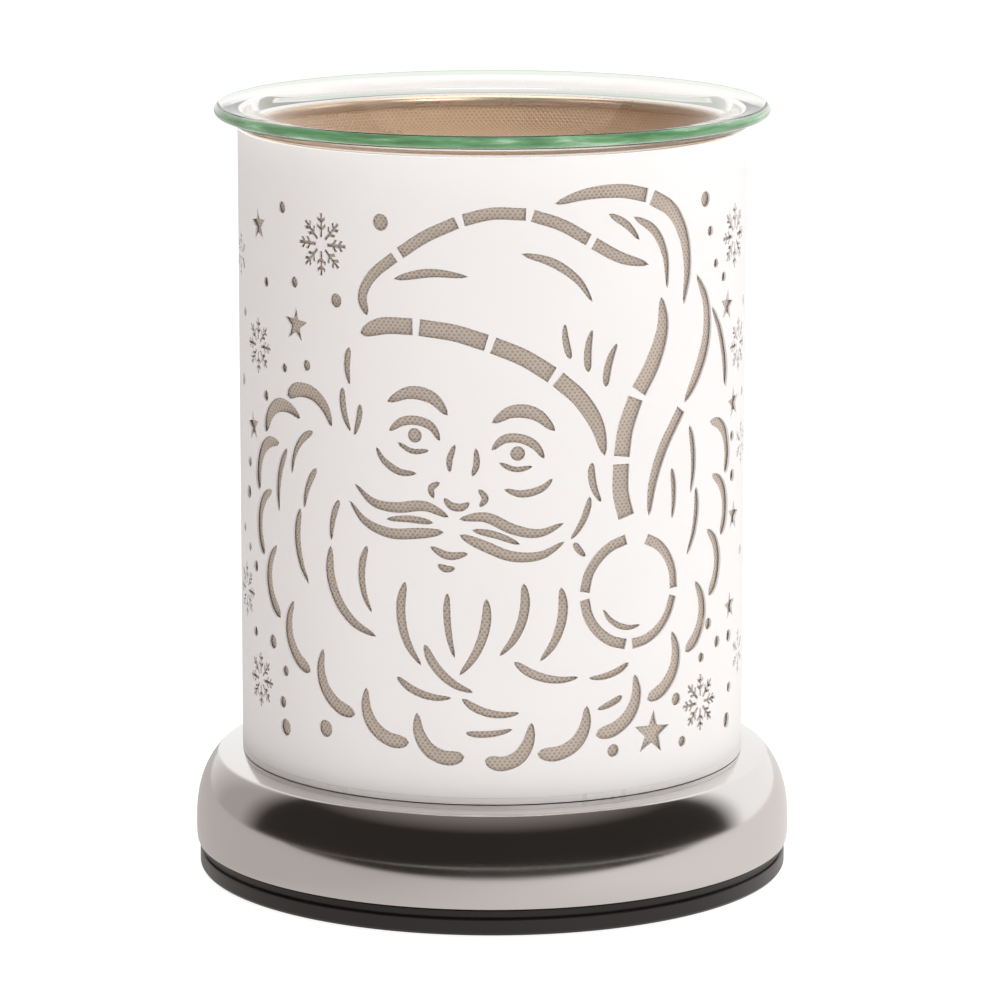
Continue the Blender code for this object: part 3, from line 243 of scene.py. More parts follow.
def chrome_material():
    """Polished plate with a very soft haze and faint buffing rings."""
    made, nodes, links, shader = new_material("polished chrome")
    haze = noise(nodes, links, 28.0)
    metal = mix_colour(nodes, links, haze, (0.70, 0.675, 0.655), (0.76, 0.735, 0.72))
    links.new(metal, shader.inputs["Base Color"])
    links.new(remap(nodes, links, haze, 0.3, 0.7, 0.10, 0.15), shader.inputs["Roughness"])
    shader.inputs["Metallic"].default_value = 1.0
    rings = noise(nodes, links, 60.0, detail=5.0, stretch=(1.0, 1.0, 30.0))
    bump(nodes, links, shader, rings, 0.03, 0.00004)
    return made


# Refractive indices. The dish bends light less than real glass, so that its bowl stays calm and clear.
LAMP_BENDING = 1.5
DISH_BENDING = 1.24
EDGE_DEEP = (0.085, 0.21, 0.095)
EDGE_GREEN = (0.150, 0.34, 0.165)
EDGE_PALE = (0.38, 0.58, 0.40)
EDGE_SEEN_THROUGH = (0.73, 0.80, 0.73, 1.0)


def filmed_glass(name, dark, light, rough, bending):
    """Clear glass under a faint film, whose colour and roughness drift."""
    made, nodes, links, shader = new_material(name)
    film = noise(nodes, links, 45.0)
    links.new(mix_colour(nodes, links, film, dark, light), shader.inputs["Base Color"])
    links.new(remap(nodes, links, film, 0.35, 0.75, *rough), shader.inputs["Roughness"])
    set_shader(shader, Transmission_Weight=1.0, IOR=bending)
    return made, nodes, links, shader


def lamp_glass_material():
    clear = (0.985, 0.985, 0.985)
    return filmed_glass("lamp glass", clear, (1.0, 1.0, 1.0), (0.01, 0.03), LAMP_BENDING)[0]


def mix_with_clear(nodes, links, shader, share, tint=(1.0, 1.0, 1.0, 1.0)):
    """Puts a clear shader in place of this one by share, which is a socket."""
    mixer, clear = nodes.new("ShaderNodeMixShader"), nodes.new("ShaderNodeBsdfTransparent")
    clear.inputs["Color"].default_value = tint
    links.new(share, mixer.inputs[0])
    links.new(shader.outputs[0], mixer.inputs[1])
    links.new(clear.outputs[0], mixer.inputs[2])
    links.new(mixer.outputs[0], nodes["Material Output"].inputs["Surface"])


def dish_glass_material():
    """The clear body of the dish, with the faint warm film of melted wax. It lets lamps through."""
    dark, light = (0.80, 0.775, 0.755), (0.85, 0.825, 0.805)
    made, nodes, links, shader = filmed_glass("dish glass", dark, light, (0.0, 0.02), DISH_BENDING)
    mix_with_clear(nodes, links, shader, nodes.new("ShaderNodeLightPath").outputs["Is Shadow Ray"])
    return made


def glass_edge_material():
    """The fire-polished rim, bottle green from outside and nearly clear from inside the glass, with a faint
    painted glow.
    """
    made, nodes, links, shader = new_material("green glass edge")
    streaks = noise(nodes, links, 240.0, detail=4.0, stretch=(0.35, 0.35, 3.2))
    greener = remap(nodes, links, streaks, 0.36, 0.56, 0.0, 1.0)
    paler = remap(nodes, links, streaks, 0.58, 0.72, 0.0, 1.0)
    deep = mix_colour(nodes, links, greener, EDGE_DEEP, EDGE_GREEN)
    edge_tone_and_glow = mix_colour(nodes, links, paler, deep, EDGE_PALE)
    links.new(edge_tone_and_glow, shader.inputs["Base Color"])
    links.new(edge_tone_and_glow, shader.inputs["Emission Color"])
    links.new(remap(nodes, links, streaks, 0.3, 0.7, 0.04, 0.12), shader.inputs["Roughness"])
    # Emission gives the rim a faint glow: painted light, standing for the light the glass carries to its
    # edge.
    set_shader(shader, Transmission_Weight=0.25, IOR=1.5, Emission_Strength=0.22, Coat_Weight=0.6)
    bump(nodes, links, shader, noise(nodes, links, 420.0, detail=2.0), 0.25, 0.00012)
    inside = nodes.new("ShaderNodeNewGeometry").outputs["Backfacing"]
    mix_with_clear(nodes, links, shader, inside, EDGE_SEEN_THROUGH)
    return made


def wire_material(name, colour):
    dark = tuple(c * 0.8 for c in colour)
    return surface(name, dark, colour, 120.0, (0.42, 0.55), grain=(1500.0, 0.1, 0.00004))


def all_materials():
    return {
        "white": white_coat_material(),
        "liner": liner_material("perforated champagne steel", (0.44, 0.37, 0.31), (0.58, 0.49, 0.42),
                                (0.69, 0.59, 0.51), (0.42, 0.55), 0.30),
        # The inside is a lit copy of the same sheet, brighter and warmer: painted light inside the chamber,
        # its light end a painted highlight.
        "liner lit inside": liner_material("champagne steel inside, painted lit", (0.76, 0.54, 0.34), (0.82, 0.60, 0.39),
                                       (0.95, 0.74, 0.50), (0.26, 0.36), 0.50),
        "satin": surface("satin seat rim", (0.82, 0.80, 0.79), (0.88, 0.86, 0.85), 60.0, (0.26, 0.36),
                         metallic=0.10),
        "bead": surface("champagne bead", (0.70, 0.55, 0.40), (0.80, 0.65, 0.50), 50.0, (0.24, 0.34),
                        metallic=0.75),
        "chrome": chrome_material(),
        "black": surface("black moulding", (0.0085, 0.0072, 0.0062), (0.014, 0.0118, 0.0100), 90.0,
                         (0.26, 0.36), grain=(1800.0, 0.12, 0.00005)),
        "rubber": surface("rubber", (0.014, 0.014, 0.014), (0.026, 0.026, 0.026), 150.0, (0.75, 0.9),
                          grain=(2500.0, 0.35, 0.00008)),
        "glass": dish_glass_material(),
        "glass edge": glass_edge_material(),
        "lamp glass": lamp_glass_material(),
        "steel": surface("zinc plate", (0.48, 0.49, 0.50), (0.62, 0.62, 0.60), 160.0, (0.25, 0.42),
                         metallic=1.0, grain=(1600.0, 0.15, 0.00004)),
        "brass": surface("brass", (0.62, 0.42, 0.16), (0.76, 0.56, 0.26), 200.0, (0.22, 0.36),
                         metallic=1.0),
        "ceramic": surface("steatite", (0.80, 0.775, 0.71), (0.88, 0.86, 0.80), 110.0, (0.42, 0.6),
                           grain=(1400.0, 0.25, 0.00008)),
        "mirror": surface("reflector film", (0.78, 0.77, 0.74), (0.86, 0.85, 0.83), 140.0, (0.05, 0.10),
                          metallic=1.0),
        "grey": surface("grey moulding", (0.25, 0.26, 0.28), (0.31, 0.32, 0.34), 130.0, (0.45, 0.6)),
        "board": surface("solder mask", (0.020, 0.13, 0.045), (0.035, 0.18, 0.07), 300.0, (0.25, 0.4)),
        "component": surface("component moulding", (0.02, 0.02, 0.02), (0.04, 0.04, 0.04), 260.0,
                             (0.45, 0.6)),
        "sleeve": surface("capacitor sleeve", (0.03, 0.09, 0.36), (0.05, 0.14, 0.50), 240.0, (0.25, 0.35)),
        "nylon": surface("nylon", (0.80, 0.79, 0.77), (0.88, 0.87, 0.85), 140.0, (0.4, 0.55)),
        "brown wire": wire_material("brown wire", (0.22, 0.09, 0.03)),
        "blue wire": wire_material("blue wire", (0.04, 0.12, 0.45)),
        "green wire": wire_material("green wire", (0.05, 0.30, 0.08)),
    }


CAD_FINISHES = {
    "rubber": ["cord_gland", "foot_pad_1", "foot_pad_2", "foot_pad_3", "foot_pad_4"],
    "steel": ["base_screw_1", "base_screw_2", "base_strap", "threaded_stem", "lock_washer", "upper_nut",
              "lower_nut", "lamp_bracket", "holder_screw_1", "holder_screw_2", "lamp_pin_1", "lamp_pin_2"],
    "brass": ["sense_tag", "holder_contact_1", "holder_contact_2", "terminal_screw_1", "terminal_screw_2",
              "terminal_screw_3"],
    "ceramic": ["lampholder_body", "lamp_base"],
    "lamp glass": ["lamp_window", "lamp_capsule"],
    "grey": ["module_case", "module_lid"],
    "board": ["circuit_board"],
    "component": ["triac", "sensor_chip"],
    "sleeve": ["capacitor"],
    "nylon": ["terminal_block"],
    "brown wire": ["lamp_wire_live", "module_feed_wire"],
    "blue wire": ["lamp_wire_neutral"],
    "green wire": ["touch_sense_wire"],
}


def finish_cad_nodes(finishes):
    for finish, nodes in CAD_FINISHES.items():
        for node in nodes:
            obj = frame["nodes"][node]
            obj.data.materials.clear()
            obj.data.materials.append(finishes[finish])


# Turned shells


def rounded(corners, steps=6):
    """A profile of (radius, height, fillet) corners with each fillet drawn as an arc."""
    points = []
    last = len(corners) - 1
    for i, (x, y, fillet) in enumerate(corners):
        corner = Vector((x, y))
        if fillet == 0.0 or i in (0, last):
            points.append((x, y))
            continue
        before = Vector(corners[i - 1][:2]) - corner
        after = Vector(corners[i + 1][:2]) - corner
        half = before.angle(after) / 2
        reach = min(fillet / math.tan(half), before.length * 0.49, after.length * 0.49)
        start, end = corner + before.normalized() * reach, corner + after.normalized() * reach
        for step in range(steps + 1):
            t = step / steps
            point = start * (1 - t) ** 2 + corner * 2 * t * (1 - t) + end * t ** 2
            points.append((point.x, point.y))
    return points


def turned(name, profile, finish, body, replaces=(), steps=ROUND_STEPS):
    """A profile that runs down its outer side, turned about Z. It closes unless it starts on the axis."""
    mesh = bpy.data.meshes.new(name)
    points = [(radius * MM, 0.0, height * MM) for radius, height in profile]
    edges = [(i, i + 1) for i in range(len(points) - 1)]
    if profile[0][0] > 0.0:
        edges.append((len(points) - 1, 0))
    mesh.from_pydata(points, edges, [])
    obj = new_object(name, mesh)
    turn = obj.modifiers.new("turn", "SCREW")
    turn.steps = steps
    turn.render_steps = steps
    turn.use_smooth_shade = True
    turn.use_merge_vertices = True
    turn.merge_threshold = 0.000005
    obj.modifiers.new("normals", "WEIGHTED_NORMAL")
    obj.data.materials.append(finish)
    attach(obj, body)
    if replaces:
        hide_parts(*replaces)
    return obj


# Shade pattern, on the unrolled sheet: s runs round from the front, z is the height


def curve_points(route, steps):
    """Catmull-Rom points through a route of (s, z) pairs."""
    knots = [(2 * route[0][0] - route[1][0], 2 * route[0][1] - route[1][1])] + list(route)
    knots.append((2 * route[-1][0] - route[-2][0], 2 * route[-1][1] - route[-2][1]))
    found = []
    for a, b, c, d in zip(knots, knots[1:], knots[2:], knots[3:]):
        for step in range(steps):
            t = step / steps
            found.append(tuple(
                (2 * q + (r - p) * t + (2 * p - 5 * q + 4 * r - e) * t * t
                 + (3 * q - p - 3 * r + e) * t ** 3) / 2
                for p, q, r, e in zip(a, b, c, d)
            ))
    found.append(tuple(route[-1]))
    return found


def stroke(width, start, end, route, steps):
    """The outline of a brush stroke: start and end say how much of its length each tip tapers over."""
    line = curve_points(route, steps)
    last = len(line) - 1
    left, right = [], []
    for i, (x, y) in enumerate(line):
        before, after = line[max(i - 1, 0)], line[min(i + 1, last)]
        dx, dy = after[0] - before[0], after[1] - before[1]
        size = math.hypot(dx, dy)
        t = i / last
        half = width / 2
        if start:
            half *= math.sqrt(1 - (1 - min(1.0, t / start)) ** 2)
        if end:
            half *= math.sqrt(1 - (1 - min(1.0, (1 - t) / end)) ** 2)
        if half < 0.02:
            left.append((x, y))
            continue
        nx, ny = -dy / size, dx / size
        left.append((x + nx * half, y + ny * half))
        right.append((x - nx * half, y - ny * half))
    return left + right[::-1]


LOCK_START = 0.3
LOCK_END = 0.65


def lock(s, z, heading, length, bend, width):
    """A hair lock that sets off at a heading and turns by bend along its length, in degrees."""
    points = [(s, z)]
    parts = 4
    for i in range(parts):
        turn = math.radians(heading + bend * (i + 0.5) / parts)
        s += length / parts * math.cos(turn)
        z += length / parts * math.sin(turn)
        points.append((s, z))
    return width, LOCK_START, LOCK_END, points


def arc(centre, radius, start, end, width, taper=0.0):
    turns = [math.radians(start + (end - start) * i / 4) for i in range(5)]
    points = [(centre[0] + radius * math.cos(a), centre[1] + radius * math.sin(a)) for a in turns]
    return width, taper, taper, points


# (width, start taper, end taper, route)
CAP = [
    (2.4, 0.3, 0.0, [(-27.2, 129.5), (-28.4, 133.5), (-26.0, 138.0), (-20.8, 142.2)]),
    (2.6, 0.0, 0.0, [(-19.6, 143.1), (-14.0, 146.8), (-7.4, 149.9)]),
    (2.6, 0.0, 0.0, [(-6.0, 150.4), (0.0, 151.8), (7.0, 151.6)]),
    (2.6, 0.0, 0.0, [(8.4, 151.3), (14.5, 149.2), (20.5, 145.8)]),
    (2.6, 0.0, 0.8, [(21.7, 145.0), (28.0, 141.6), (35.0, 139.6)]),
    (3.0, 0.8, 0.0, [(13.0, 153.6), (20.0, 155.4), (28.0, 155.6), (34.5, 154.2)]),
    (3.4, 0.0, 0.8, [(35.8, 153.7), (41.5, 150.4), (45.2, 144.6), (46.4, 137.5), (45.2, 130.0)]),
    (2.2, 0.5, 0.8, [(31.0, 150.0), (36.5, 146.6), (39.6, 141.0), (40.2, 134.0)]),
    (1.8, 0.5, 0.8, [(25.0, 151.0), (29.4, 148.4), (32.6, 145.0)]),
    (4.2, 0.8, 0.0, [(38.5, 132.5), (39.0, 126.0), (36.5, 119.0), (32.6, 113.0)]),
    (4.0, 0.0, 0.0, [(31.8, 111.6), (29.4, 105.5), (28.4, 99.5)]),
    (4.0, 0.0, 0.0, [(28.3, 97.9), (28.2, 92.0), (29.6, 86.5)]),
    (3.6, 0.7, 0.5, [(49.5, 136.0), (53.2, 129.5), (53.4, 122.0), (50.0, 114.8), (45.6, 109.0)]),
    (2.8, 0.0, 0.7, [(44.6, 107.8), (39.4, 100.4), (36.4, 93.0), (35.4, 86.0)]),
    (2.8, 0.8, 0.3, [(55.5, 128.5), (59.4, 122.5), (61.8, 116.0), (62.4, 110.0)]),
    (2.0, 0.5, 0.8, [(-21.0, 137.6), (-13.0, 139.2), (-5.0, 138.6)]),
    (2.0, 0.5, 0.8, [(6.0, 143.4), (12.6, 141.4), (18.0, 137.6), (21.4, 132.8)]),
]
BAND = [
    (3.6, 0.5, 0.0, [(-29.0, 125.6), (-23.4, 127.6), (-16.8, 127.8)]),
    (3.6, 0.0, 0.0, [(-15.4, 127.7), (-8.0, 126.8), (-1.2, 124.8)]),
    (3.6, 0.0, 0.0, [(0.2, 124.3), (6.6, 121.6), (12.6, 117.8)]),
    (3.6, 0.0, 0.6, [(13.8, 116.9), (18.8, 112.4), (22.6, 106.6), (24.4, 100.0)]),
]
TUFTS = [
    (20.6, 118.0, 100, 9.0, -30, 1.8), (24.6, 114.6, 92, 9.5, -36, 1.9), (16.6, 121.0, 112, 7.6, -24, 1.6),
    (27.0, 119.6, 70, 7.0, -30, 1.4), (-28.0, 119.6, 210, 6.6, 50, 1.8), (-31.6, 122.4, 250, 8.0, 40, 1.8),
    (-33.4, 113.8, 262, 9.6, 40, 1.9), (-29.0, 110.6, 268, 9.6, -30, 1.6),
    (-36.2, 104.6, 240, 10.0, 46, 1.9), (21.4, 98.8, 262, 9.0, 44, 1.8),
]
BOBBLE_CENTRE = (31.2, 70.4)
BOBBLE_RADIUS = 11.4
BOBBLE_ARCS = [(98, 176), (184, 262), (270, 348), (356, 432)]

HEAD_CENTRE = (-5.5, 103.5)
HEAD_WIDTH = 55.0
HEAD_TILT = -9.0
# Features on one side, in head widths from the middle of the eye line; the other side mirrors them.
FACE_SIDE = [
    (2.0, 0.4, 0.4, [(0.10, -0.008), (0.14, 0.040), (0.20, 0.052), (0.26, 0.034), (0.305, -0.012)]),
    (1.2, 0.4, 0.4, [(0.135, -0.052), (0.20, -0.068), (0.265, -0.048)]),
    (3.0, 0.6, 0.6, [(0.085, 0.095), (0.155, 0.150), (0.245, 0.152), (0.330, 0.098)]),
    (1.5, 0.5, 0.5, [(0.075, -0.165), (0.105, -0.195), (0.090, -0.232)]),
    (1.7, 0.5, 0.6, [(0.170, -0.150), (0.240, -0.158), (0.310, -0.130), (0.350, -0.085)]),
    (2.4, 0.4, 0.7, [(0.020, -0.292), (0.120, -0.268), (0.230, -0.298), (0.330, -0.300), (0.420, -0.250)]),
    (2.4, 0.3, 0.7, [(0.030, -0.352), (0.130, -0.378), (0.240, -0.402), (0.350, -0.384), (0.435, -0.320)]),
    (1.6, 0.4, 0.6, [(0.075, -0.325), (0.170, -0.330), (0.265, -0.352)]),
    (1.4, 0.5, 0.5, [(0.040, -0.010), (0.052, -0.070), (0.044, -0.120)]),
]
FACE_MIDDLE = [
    (1.8, 0.5, 0.5, [(-0.050, -0.222), (-0.020, -0.246), (0.020, -0.246), (0.050, -0.222)]),
    (1.8, 0.5, 0.5, [(-0.075, -0.418), (0.0, -0.440), (0.075, -0.418)]),
    (1.6, 0.5, 0.6, [(-0.035, -0.482), (0.0, -0.492), (0.035, -0.482)]),
]
PUPIL = (0.20, -0.006, 1.55)

# The beard's edge runs down each side to the bottom; each lock starts inside it and sweeps out along it.
EDGE_LEFT = [
    (-38.0, 112.4), (-51.6, 110.4), (-60.6, 100.4), (-63.6, 86.4), (-60.6, 72.4), (-53.0, 60.0),
    (-42.4, 50.0), (-29.8, 42.6), (-17.0, 38.0), (-5.0, 35.8),
]
EDGE_RIGHT = [
    (62.6, 103.6), (63.4, 90.0), (60.8, 76.8), (55.2, 64.6), (46.2, 53.8), (34.6, 45.2), (21.6, 39.2),
    (8.6, 36.2), (-2.4, 35.2),
]
EDGE_LOCK_WIDTH = 3.2
# Locks: place, heading, length, bend, width.
BEARD_LOCKS = [
    (-41.6, 103.4, 200, 13.0, 70, 1.9), (-50.2, 98.6, 232, 15.0, 50, 2.2), (-55.2, 88.4, 254, 15.0, 46, 2.2),
    (-55.6, 77.6, 270, 14.0, 46, 2.1), (-52.2, 66.8, 286, 14.0, 42, 2.1), (-46.2, 57.6, 300, 13.0, 40, 1.9),
    (-37.6, 50.2, 314, 13.0, 38, 1.8), (-27.6, 45.4, 326, 11.0, 34, 1.6), (-17.0, 42.4, 336, 10.0, 30, 1.6),
    (-40.6, 95.6, 226, 14.0, 56, 1.9), (-45.8, 86.4, 248, 17.0, 62, 2.4), (-46.6, 73.6, 270, 17.0, 58, 2.2),
    (-40.8, 62.6, 292, 16.0, 52, 2.1), (-30.2, 53.8, 310, 13.0, 46, 1.8),
    (-34.4, 89.6, 238, 13.0, 50, 1.8), (-36.8, 79.6, 256, 24.0, 92, 2.7), (-27.4, 80.6, 244, 15.0, 60, 1.9),
    (-27.6, 67.6, 268, 15.0, 62, 2.1), (-18.6, 73.6, 250, 19.0, 62, 2.2), (-20.6, 53.0, 316, 13.0, 52, 1.8),
    (-9.4, 71.6, 264, 14.0, 24, 1.6), (-14.4, 60.4, 286, 15.0, 60, 2.1), (-1.2, 70.6, 276, 18.0, -50, 2.1),
    (-6.4, 49.0, 318, 13.0, 56, 1.8), (6.6, 73.8, 282, 17.0, -60, 2.1), (14.6, 72.6, 284, 17.0, -60, 2.2),
    (4.6, 57.0, 316, 15.0, 56, 1.9), (-5.6, 41.6, 352, 10.0, 26, 1.5),
    (54.6, 107.6, 286, 15.0, -36, 2.1), (56.8, 95.4, 280, 14.0, -36, 2.1), (56.2, 83.6, 272, 14.0, -38, 2.1),
    (53.0, 72.2, 258, 13.0, -38, 1.9), (47.2, 61.8, 244, 13.0, -38, 1.9), (39.0, 53.4, 226, 12.0, -36, 1.8),
    (28.8, 48.0, 210, 11.0, -30, 1.6), (18.6, 43.8, 198, 10.0, -26, 1.5), (8.0, 41.8, 190, 9.0, -24, 1.5),
    (47.4, 104.0, 290, 15.0, -36, 1.9), (49.8, 90.4, 280, 15.0, -44, 1.9), (47.0, 76.4, 262, 12.0, -40, 1.8),
    (41.8, 95.6, 284, 11.0, -26, 1.6), (20.4, 55.4, 212, 13.0, -54, 1.9), (30.4, 55.0, 214, 10.0, -40, 1.6),
    (21.0, 91.6, 262, 10.0, -36, 1.6), (17.4, 82.0, 300, 7.0, 36, 1.5),
]


# The least steel between cutouts, and the shares of its length that a lock may keep
BRIDGE = 0.7
CHECK_STEPS = 3
LOCK_SHARES = (1.0, 0.86, 0.72, 0.58)

# Motifs round the figure: place, radius, and a star's turn or a snowflake's arms.
STARS = [
    (-62.0, 145.0, 3.7, 6), (-47.0, 125.5, 3.9, -4), (-66.0, 101.0, 3.5, 8), (63.0, 127.5, 3.5, -6),
    (67.4, 105.8, 3.6, 5), (68.0, 81.0, 3.6, -8), (66.0, 61.5, 3.3, 4), (36.6, 38.9, 5.0, -5),
]
FLAKES = [
    (-39.0, 143.5, 6.6, 8), (-62.5, 119.0, 6.0, 8), (-75.5, 137.0, 5.0, 6), (-72.0, 64.0, 6.0, 8),
    (-62.5, 46.0, 6.0, 8), (67.5, 142.0, 7.0, 8), (71.0, 118.0, 6.0, 8), (74.5, 96.0, 5.0, 6),
    (73.0, 50.0, 5.0, 6), (52.0, 43.0, 6.2, 8),
]
DOTS = [
    (-51.5, 150.0, 1.3), (-24.0, 149.3, 1.8), (-58.3, 133.3, 1.1), (-47.3, 134.6, 1.2), (-35.0, 132.0, 1.5),
    (-43.5, 117.3, 1.2), (-51.0, 115.8, 1.0), (-58.8, 108.7, 1.2), (-68.6, 92.7, 1.2), (-69.5, 86.0, 1.5),
    (-73.5, 77.5, 1.1), (-69.0, 74.0, 1.0), (-65.0, 70.5, 1.3), (-65.5, 56.0, 1.2), (-56.5, 55.5, 1.6),
    (-51.4, 50.0, 1.2), (-52.5, 43.0, 1.3), (-51.5, 37.6, 1.9), (-38.5, 39.6, 1.9), (26.6, 36.4, 1.4),
    (43.6, 45.2, 1.4), (55.0, 59.7, 1.3), (65.5, 55.0, 1.4), (59.0, 55.0, 1.3), (52.2, 52.8, 1.1),
    (66.0, 43.5, 1.2), (64.5, 36.5, 1.7), (45.6, 35.6, 1.2), (52.6, 151.6, 1.7), (54.6, 144.6, 1.1),
    (57.2, 137.4, 1.0), (61.0, 134.0, 1.1), (66.7, 98.7, 1.2), (67.0, 90.0, 1.4),
    (76.6, 126.7, 1.2), (74.7, 72.2, 1.2), (-71.5, 125.0, 1.1), (-73.5, 110.0, 1.3), (75.5, 107.0, 1.1),
]
BACK_KINDS = [("flake", 14, 5.0, 7.2), ("star", 22, 3.2, 4.6), ("dot", 78, 0.9, 1.9)]
BACK_SEED = 11
BACK_SPAN = (84.0, 261.0)
BACK_HEIGHTS = (38.0, 150.0)
BACK_SPACE = 1.6
MOST_TRIES = 400


def star_outline(s, z, radius, turn=0.0):
    points = []
    for i in range(10):
        reach = radius if i % 2 == 0 else radius * 0.42
        a = math.radians(90 + turn + 36 * i)
        points.append((s + reach * math.cos(a), z + reach * math.sin(a)))
    return points


def dot_outline(s, z, radius, count=18):
    turns = [2 * math.pi * i / count for i in range(count)]
    return [(s + radius * math.cos(a), z + radius * math.sin(a)) for a in turns]


def flake_arm(radius, inner):
    """One arm along +X: a slim bar with two pairs of side twigs."""
    thick, slope = radius * 0.055, math.radians(52)
    side = [(inner * radius, thick)]
    for place, length in ((0.50, 0.20), (0.74, 0.17)):
        root, reach = place * radius, length * radius
        tip_x, tip_y = reach * math.cos(slope), reach * math.sin(slope)
        side += [(root - thick, thick), (root - thick + tip_x, thick + tip_y)]
        side += [(root + thick + tip_x, thick * 0.4 + tip_y), (root + thick * 1.3, thick)]
    side.append((radius, thick))
    return side + [(x, -y) for x, y in side[::-1]]


def flake_outlines(s, z, radius, arms):
    """The arms of a snowflake, which stand off its middle so that the steel between them holds."""
    outline = flake_arm(radius, 0.028 * arms)
    found = []
    for arm in range(arms):
        a = 2 * math.pi * arm / arms + math.pi / 2
        found.append([(s + x * math.cos(a) - y * math.sin(a), z + x * math.sin(a) + y * math.cos(a))
                      for x, y in outline])
    return found


def head_point(u, v):
    turn = math.radians(HEAD_TILT)
    x, y = u * HEAD_WIDTH, v * HEAD_WIDTH
    across = x * math.cos(turn) - y * math.sin(turn)
    up = x * math.sin(turn) + y * math.cos(turn)
    return HEAD_CENTRE[0] + across, HEAD_CENTRE[1] + up


def edge_locks(edge, side):
    """Feather-like locks along the beard's edge. side is 1 where the inside is on the route's left."""
    found = []
    for (x0, y0), (x1, y1) in zip(edge, edge[1:]):
        dx, dy = x1 - x0, y1 - y0
        size = math.hypot(dx, dy)
        ux, uy = dx / size, dy / size
        nx, ny = -uy * side, ux * side
        route = []
        for along, inward in ((-0.04, 7.6), (0.06, 3.4), (0.28, 0.4), (0.60, -0.6), (0.92, 0.6)):
            route.append((x0 + dx * along + nx * inward, y0 + dy * along + ny * inward))
        found.append((EDGE_LOCK_WIDTH, 0.6, 0.2, route))
    return found


def figure_strokes():
    """The strokes whose places are fixed."""
    strokes = CAP + BAND
    strokes += [arc(BOBBLE_CENTRE, BOBBLE_RADIUS, a, b, 2.3) for a, b in BOBBLE_ARCS]
    strokes.append(arc(BOBBLE_CENTRE, BOBBLE_RADIUS - 3.6, 205, 285, 1.3, 0.5))
    for side in (-1, 1):
        for width, start, end, route in FACE_SIDE:
            strokes.append((width, start, end, [head_point(side * u, v) for u, v in route]))
    strokes += [(w, a, b, [head_point(*p) for p in route]) for w, a, b, route in FACE_MIDDLE]
    strokes += edge_locks(EDGE_LEFT, 1) + edge_locks(EDGE_RIGHT, -1)
    return strokes


def extent(outline, margin=0.0):
    across, up = [x for x, y in outline], [y for x, y in outline]
    return min(across) - margin, min(up) - margin, max(across) + margin, max(up) + margin


def distance(point, a, b):
    dx, dy = b[0] - a[0], b[1] - a[1]
    share = ((point[0] - a[0]) * dx + (point[1] - a[1]) * dy) / (dx * dx + dy * dy + 1e-9)
    reach = max(0.0, min(1.0, share))
    return math.hypot(point[0] - a[0] - reach * dx, point[1] - a[1] - reach * dy)


def too_close(outline, kept):
    """Whether less than BRIDGE of steel would be left between this cutout and one of those kept already."""
    low_x, low_y, high_x, high_y = extent(outline, BRIDGE)
    for other in kept:
        left, bottom, right, top = extent(other)
        if left > high_x or right < low_x or bottom > high_y or top < low_y:
            continue
        for one, two in ((outline, other), (other, outline)):
            sides = list(zip(two, two[1:] + two[:1]))
            if any(distance(point, a, b) < BRIDGE for point in one for a, b in sides):
                return True
    return False


def fitted_locks():
    """Strokes of beard and hair, longest first. One that would touch a cutout is shortened, or left out."""
    kept = [stroke(*row, CHECK_STEPS) for row in figure_strokes()]
    rows = []
    for s, z, heading, length, bend, width in sorted(BEARD_LOCKS + TUFTS, key=lambda row: -row[3]):
        for share in LOCK_SHARES:
            row = lock(s, z, heading, length * share, bend * share, width)
            outline = stroke(*row, CHECK_STEPS)
            if not too_close(outline, kept):
                kept.append(outline)
                rows.append(row)
                break
    return rows


def pattern(steps=6):
    """Every cutout's outline."""
    found = [stroke(*row, steps) for row in figure_strokes() + fitted_locks()]
    for side in (-1, 1):
        found.append(dot_outline(*head_point(side * PUPIL[0], PUPIL[1]), PUPIL[2], 3 * steps))
    for s, z, radius, turn in STARS:
        found.append(star_outline(s, z, radius, turn))
    for s, z, radius, arms in FLAKES:
        found += flake_outlines(s, z, radius, arms)
    for s, z, radius in DOTS:
        found.append(dot_outline(s, z, radius, 3 * steps))
    return found + back_motifs(steps)


def back_motifs(steps):
    """The same motifs thrown over the back, each kept clear of those before it."""
    draw, seam = random.Random(BACK_SEED), math.pi * SHADE_RADIUS
    places, found = [], []
    for kind, count, smallest, largest in BACK_KINDS:
        made = 0
        for _ in range(MOST_TRIES):
            if made == count:
                break
            s, z = draw.uniform(*BACK_SPAN), draw.uniform(*BACK_HEIGHTS)
            radius, turn = draw.uniform(smallest, largest), draw.uniform(-20.0, 20.0)
            crowded = any(math.hypot(s - a, z - b) < radius + r + BACK_SPACE for a, b, r in places)
            if crowded or abs(s - seam) < radius + BACK_SPACE:
                continue
            places.append((s, z, radius))
            made += 1
            s -= 2 * seam if s > seam else 0.0
            if kind == "flake":
                found += flake_outlines(s, z, radius, 6 if made % 3 == 0 else 8)
            elif kind == "star":
                found.append(star_outline(s, z, radius, turn))
            else:
                found.append(dot_outline(s, z, radius, 3 * steps))
    return found


def shoulder_profile(steps=40):
    """The cover's outer line from its flat top over the shoulder to its widest height."""
    belly, width, height, power = 9.0, 21.87, 21.41, 2.0 / 2.59
    points = []
    for step in range(steps + 1):
        turn = math.pi / 2 * step / steps
        radius = COVER_RADIUS - width * (1.0 - math.cos(turn) ** power)
        points.append((radius, belly + height * math.sin(turn) ** power))
    return points[::-1]


COVER_CURL = 0.4
COVER_WALL = 0.8
STEM_HOLE = 5.2


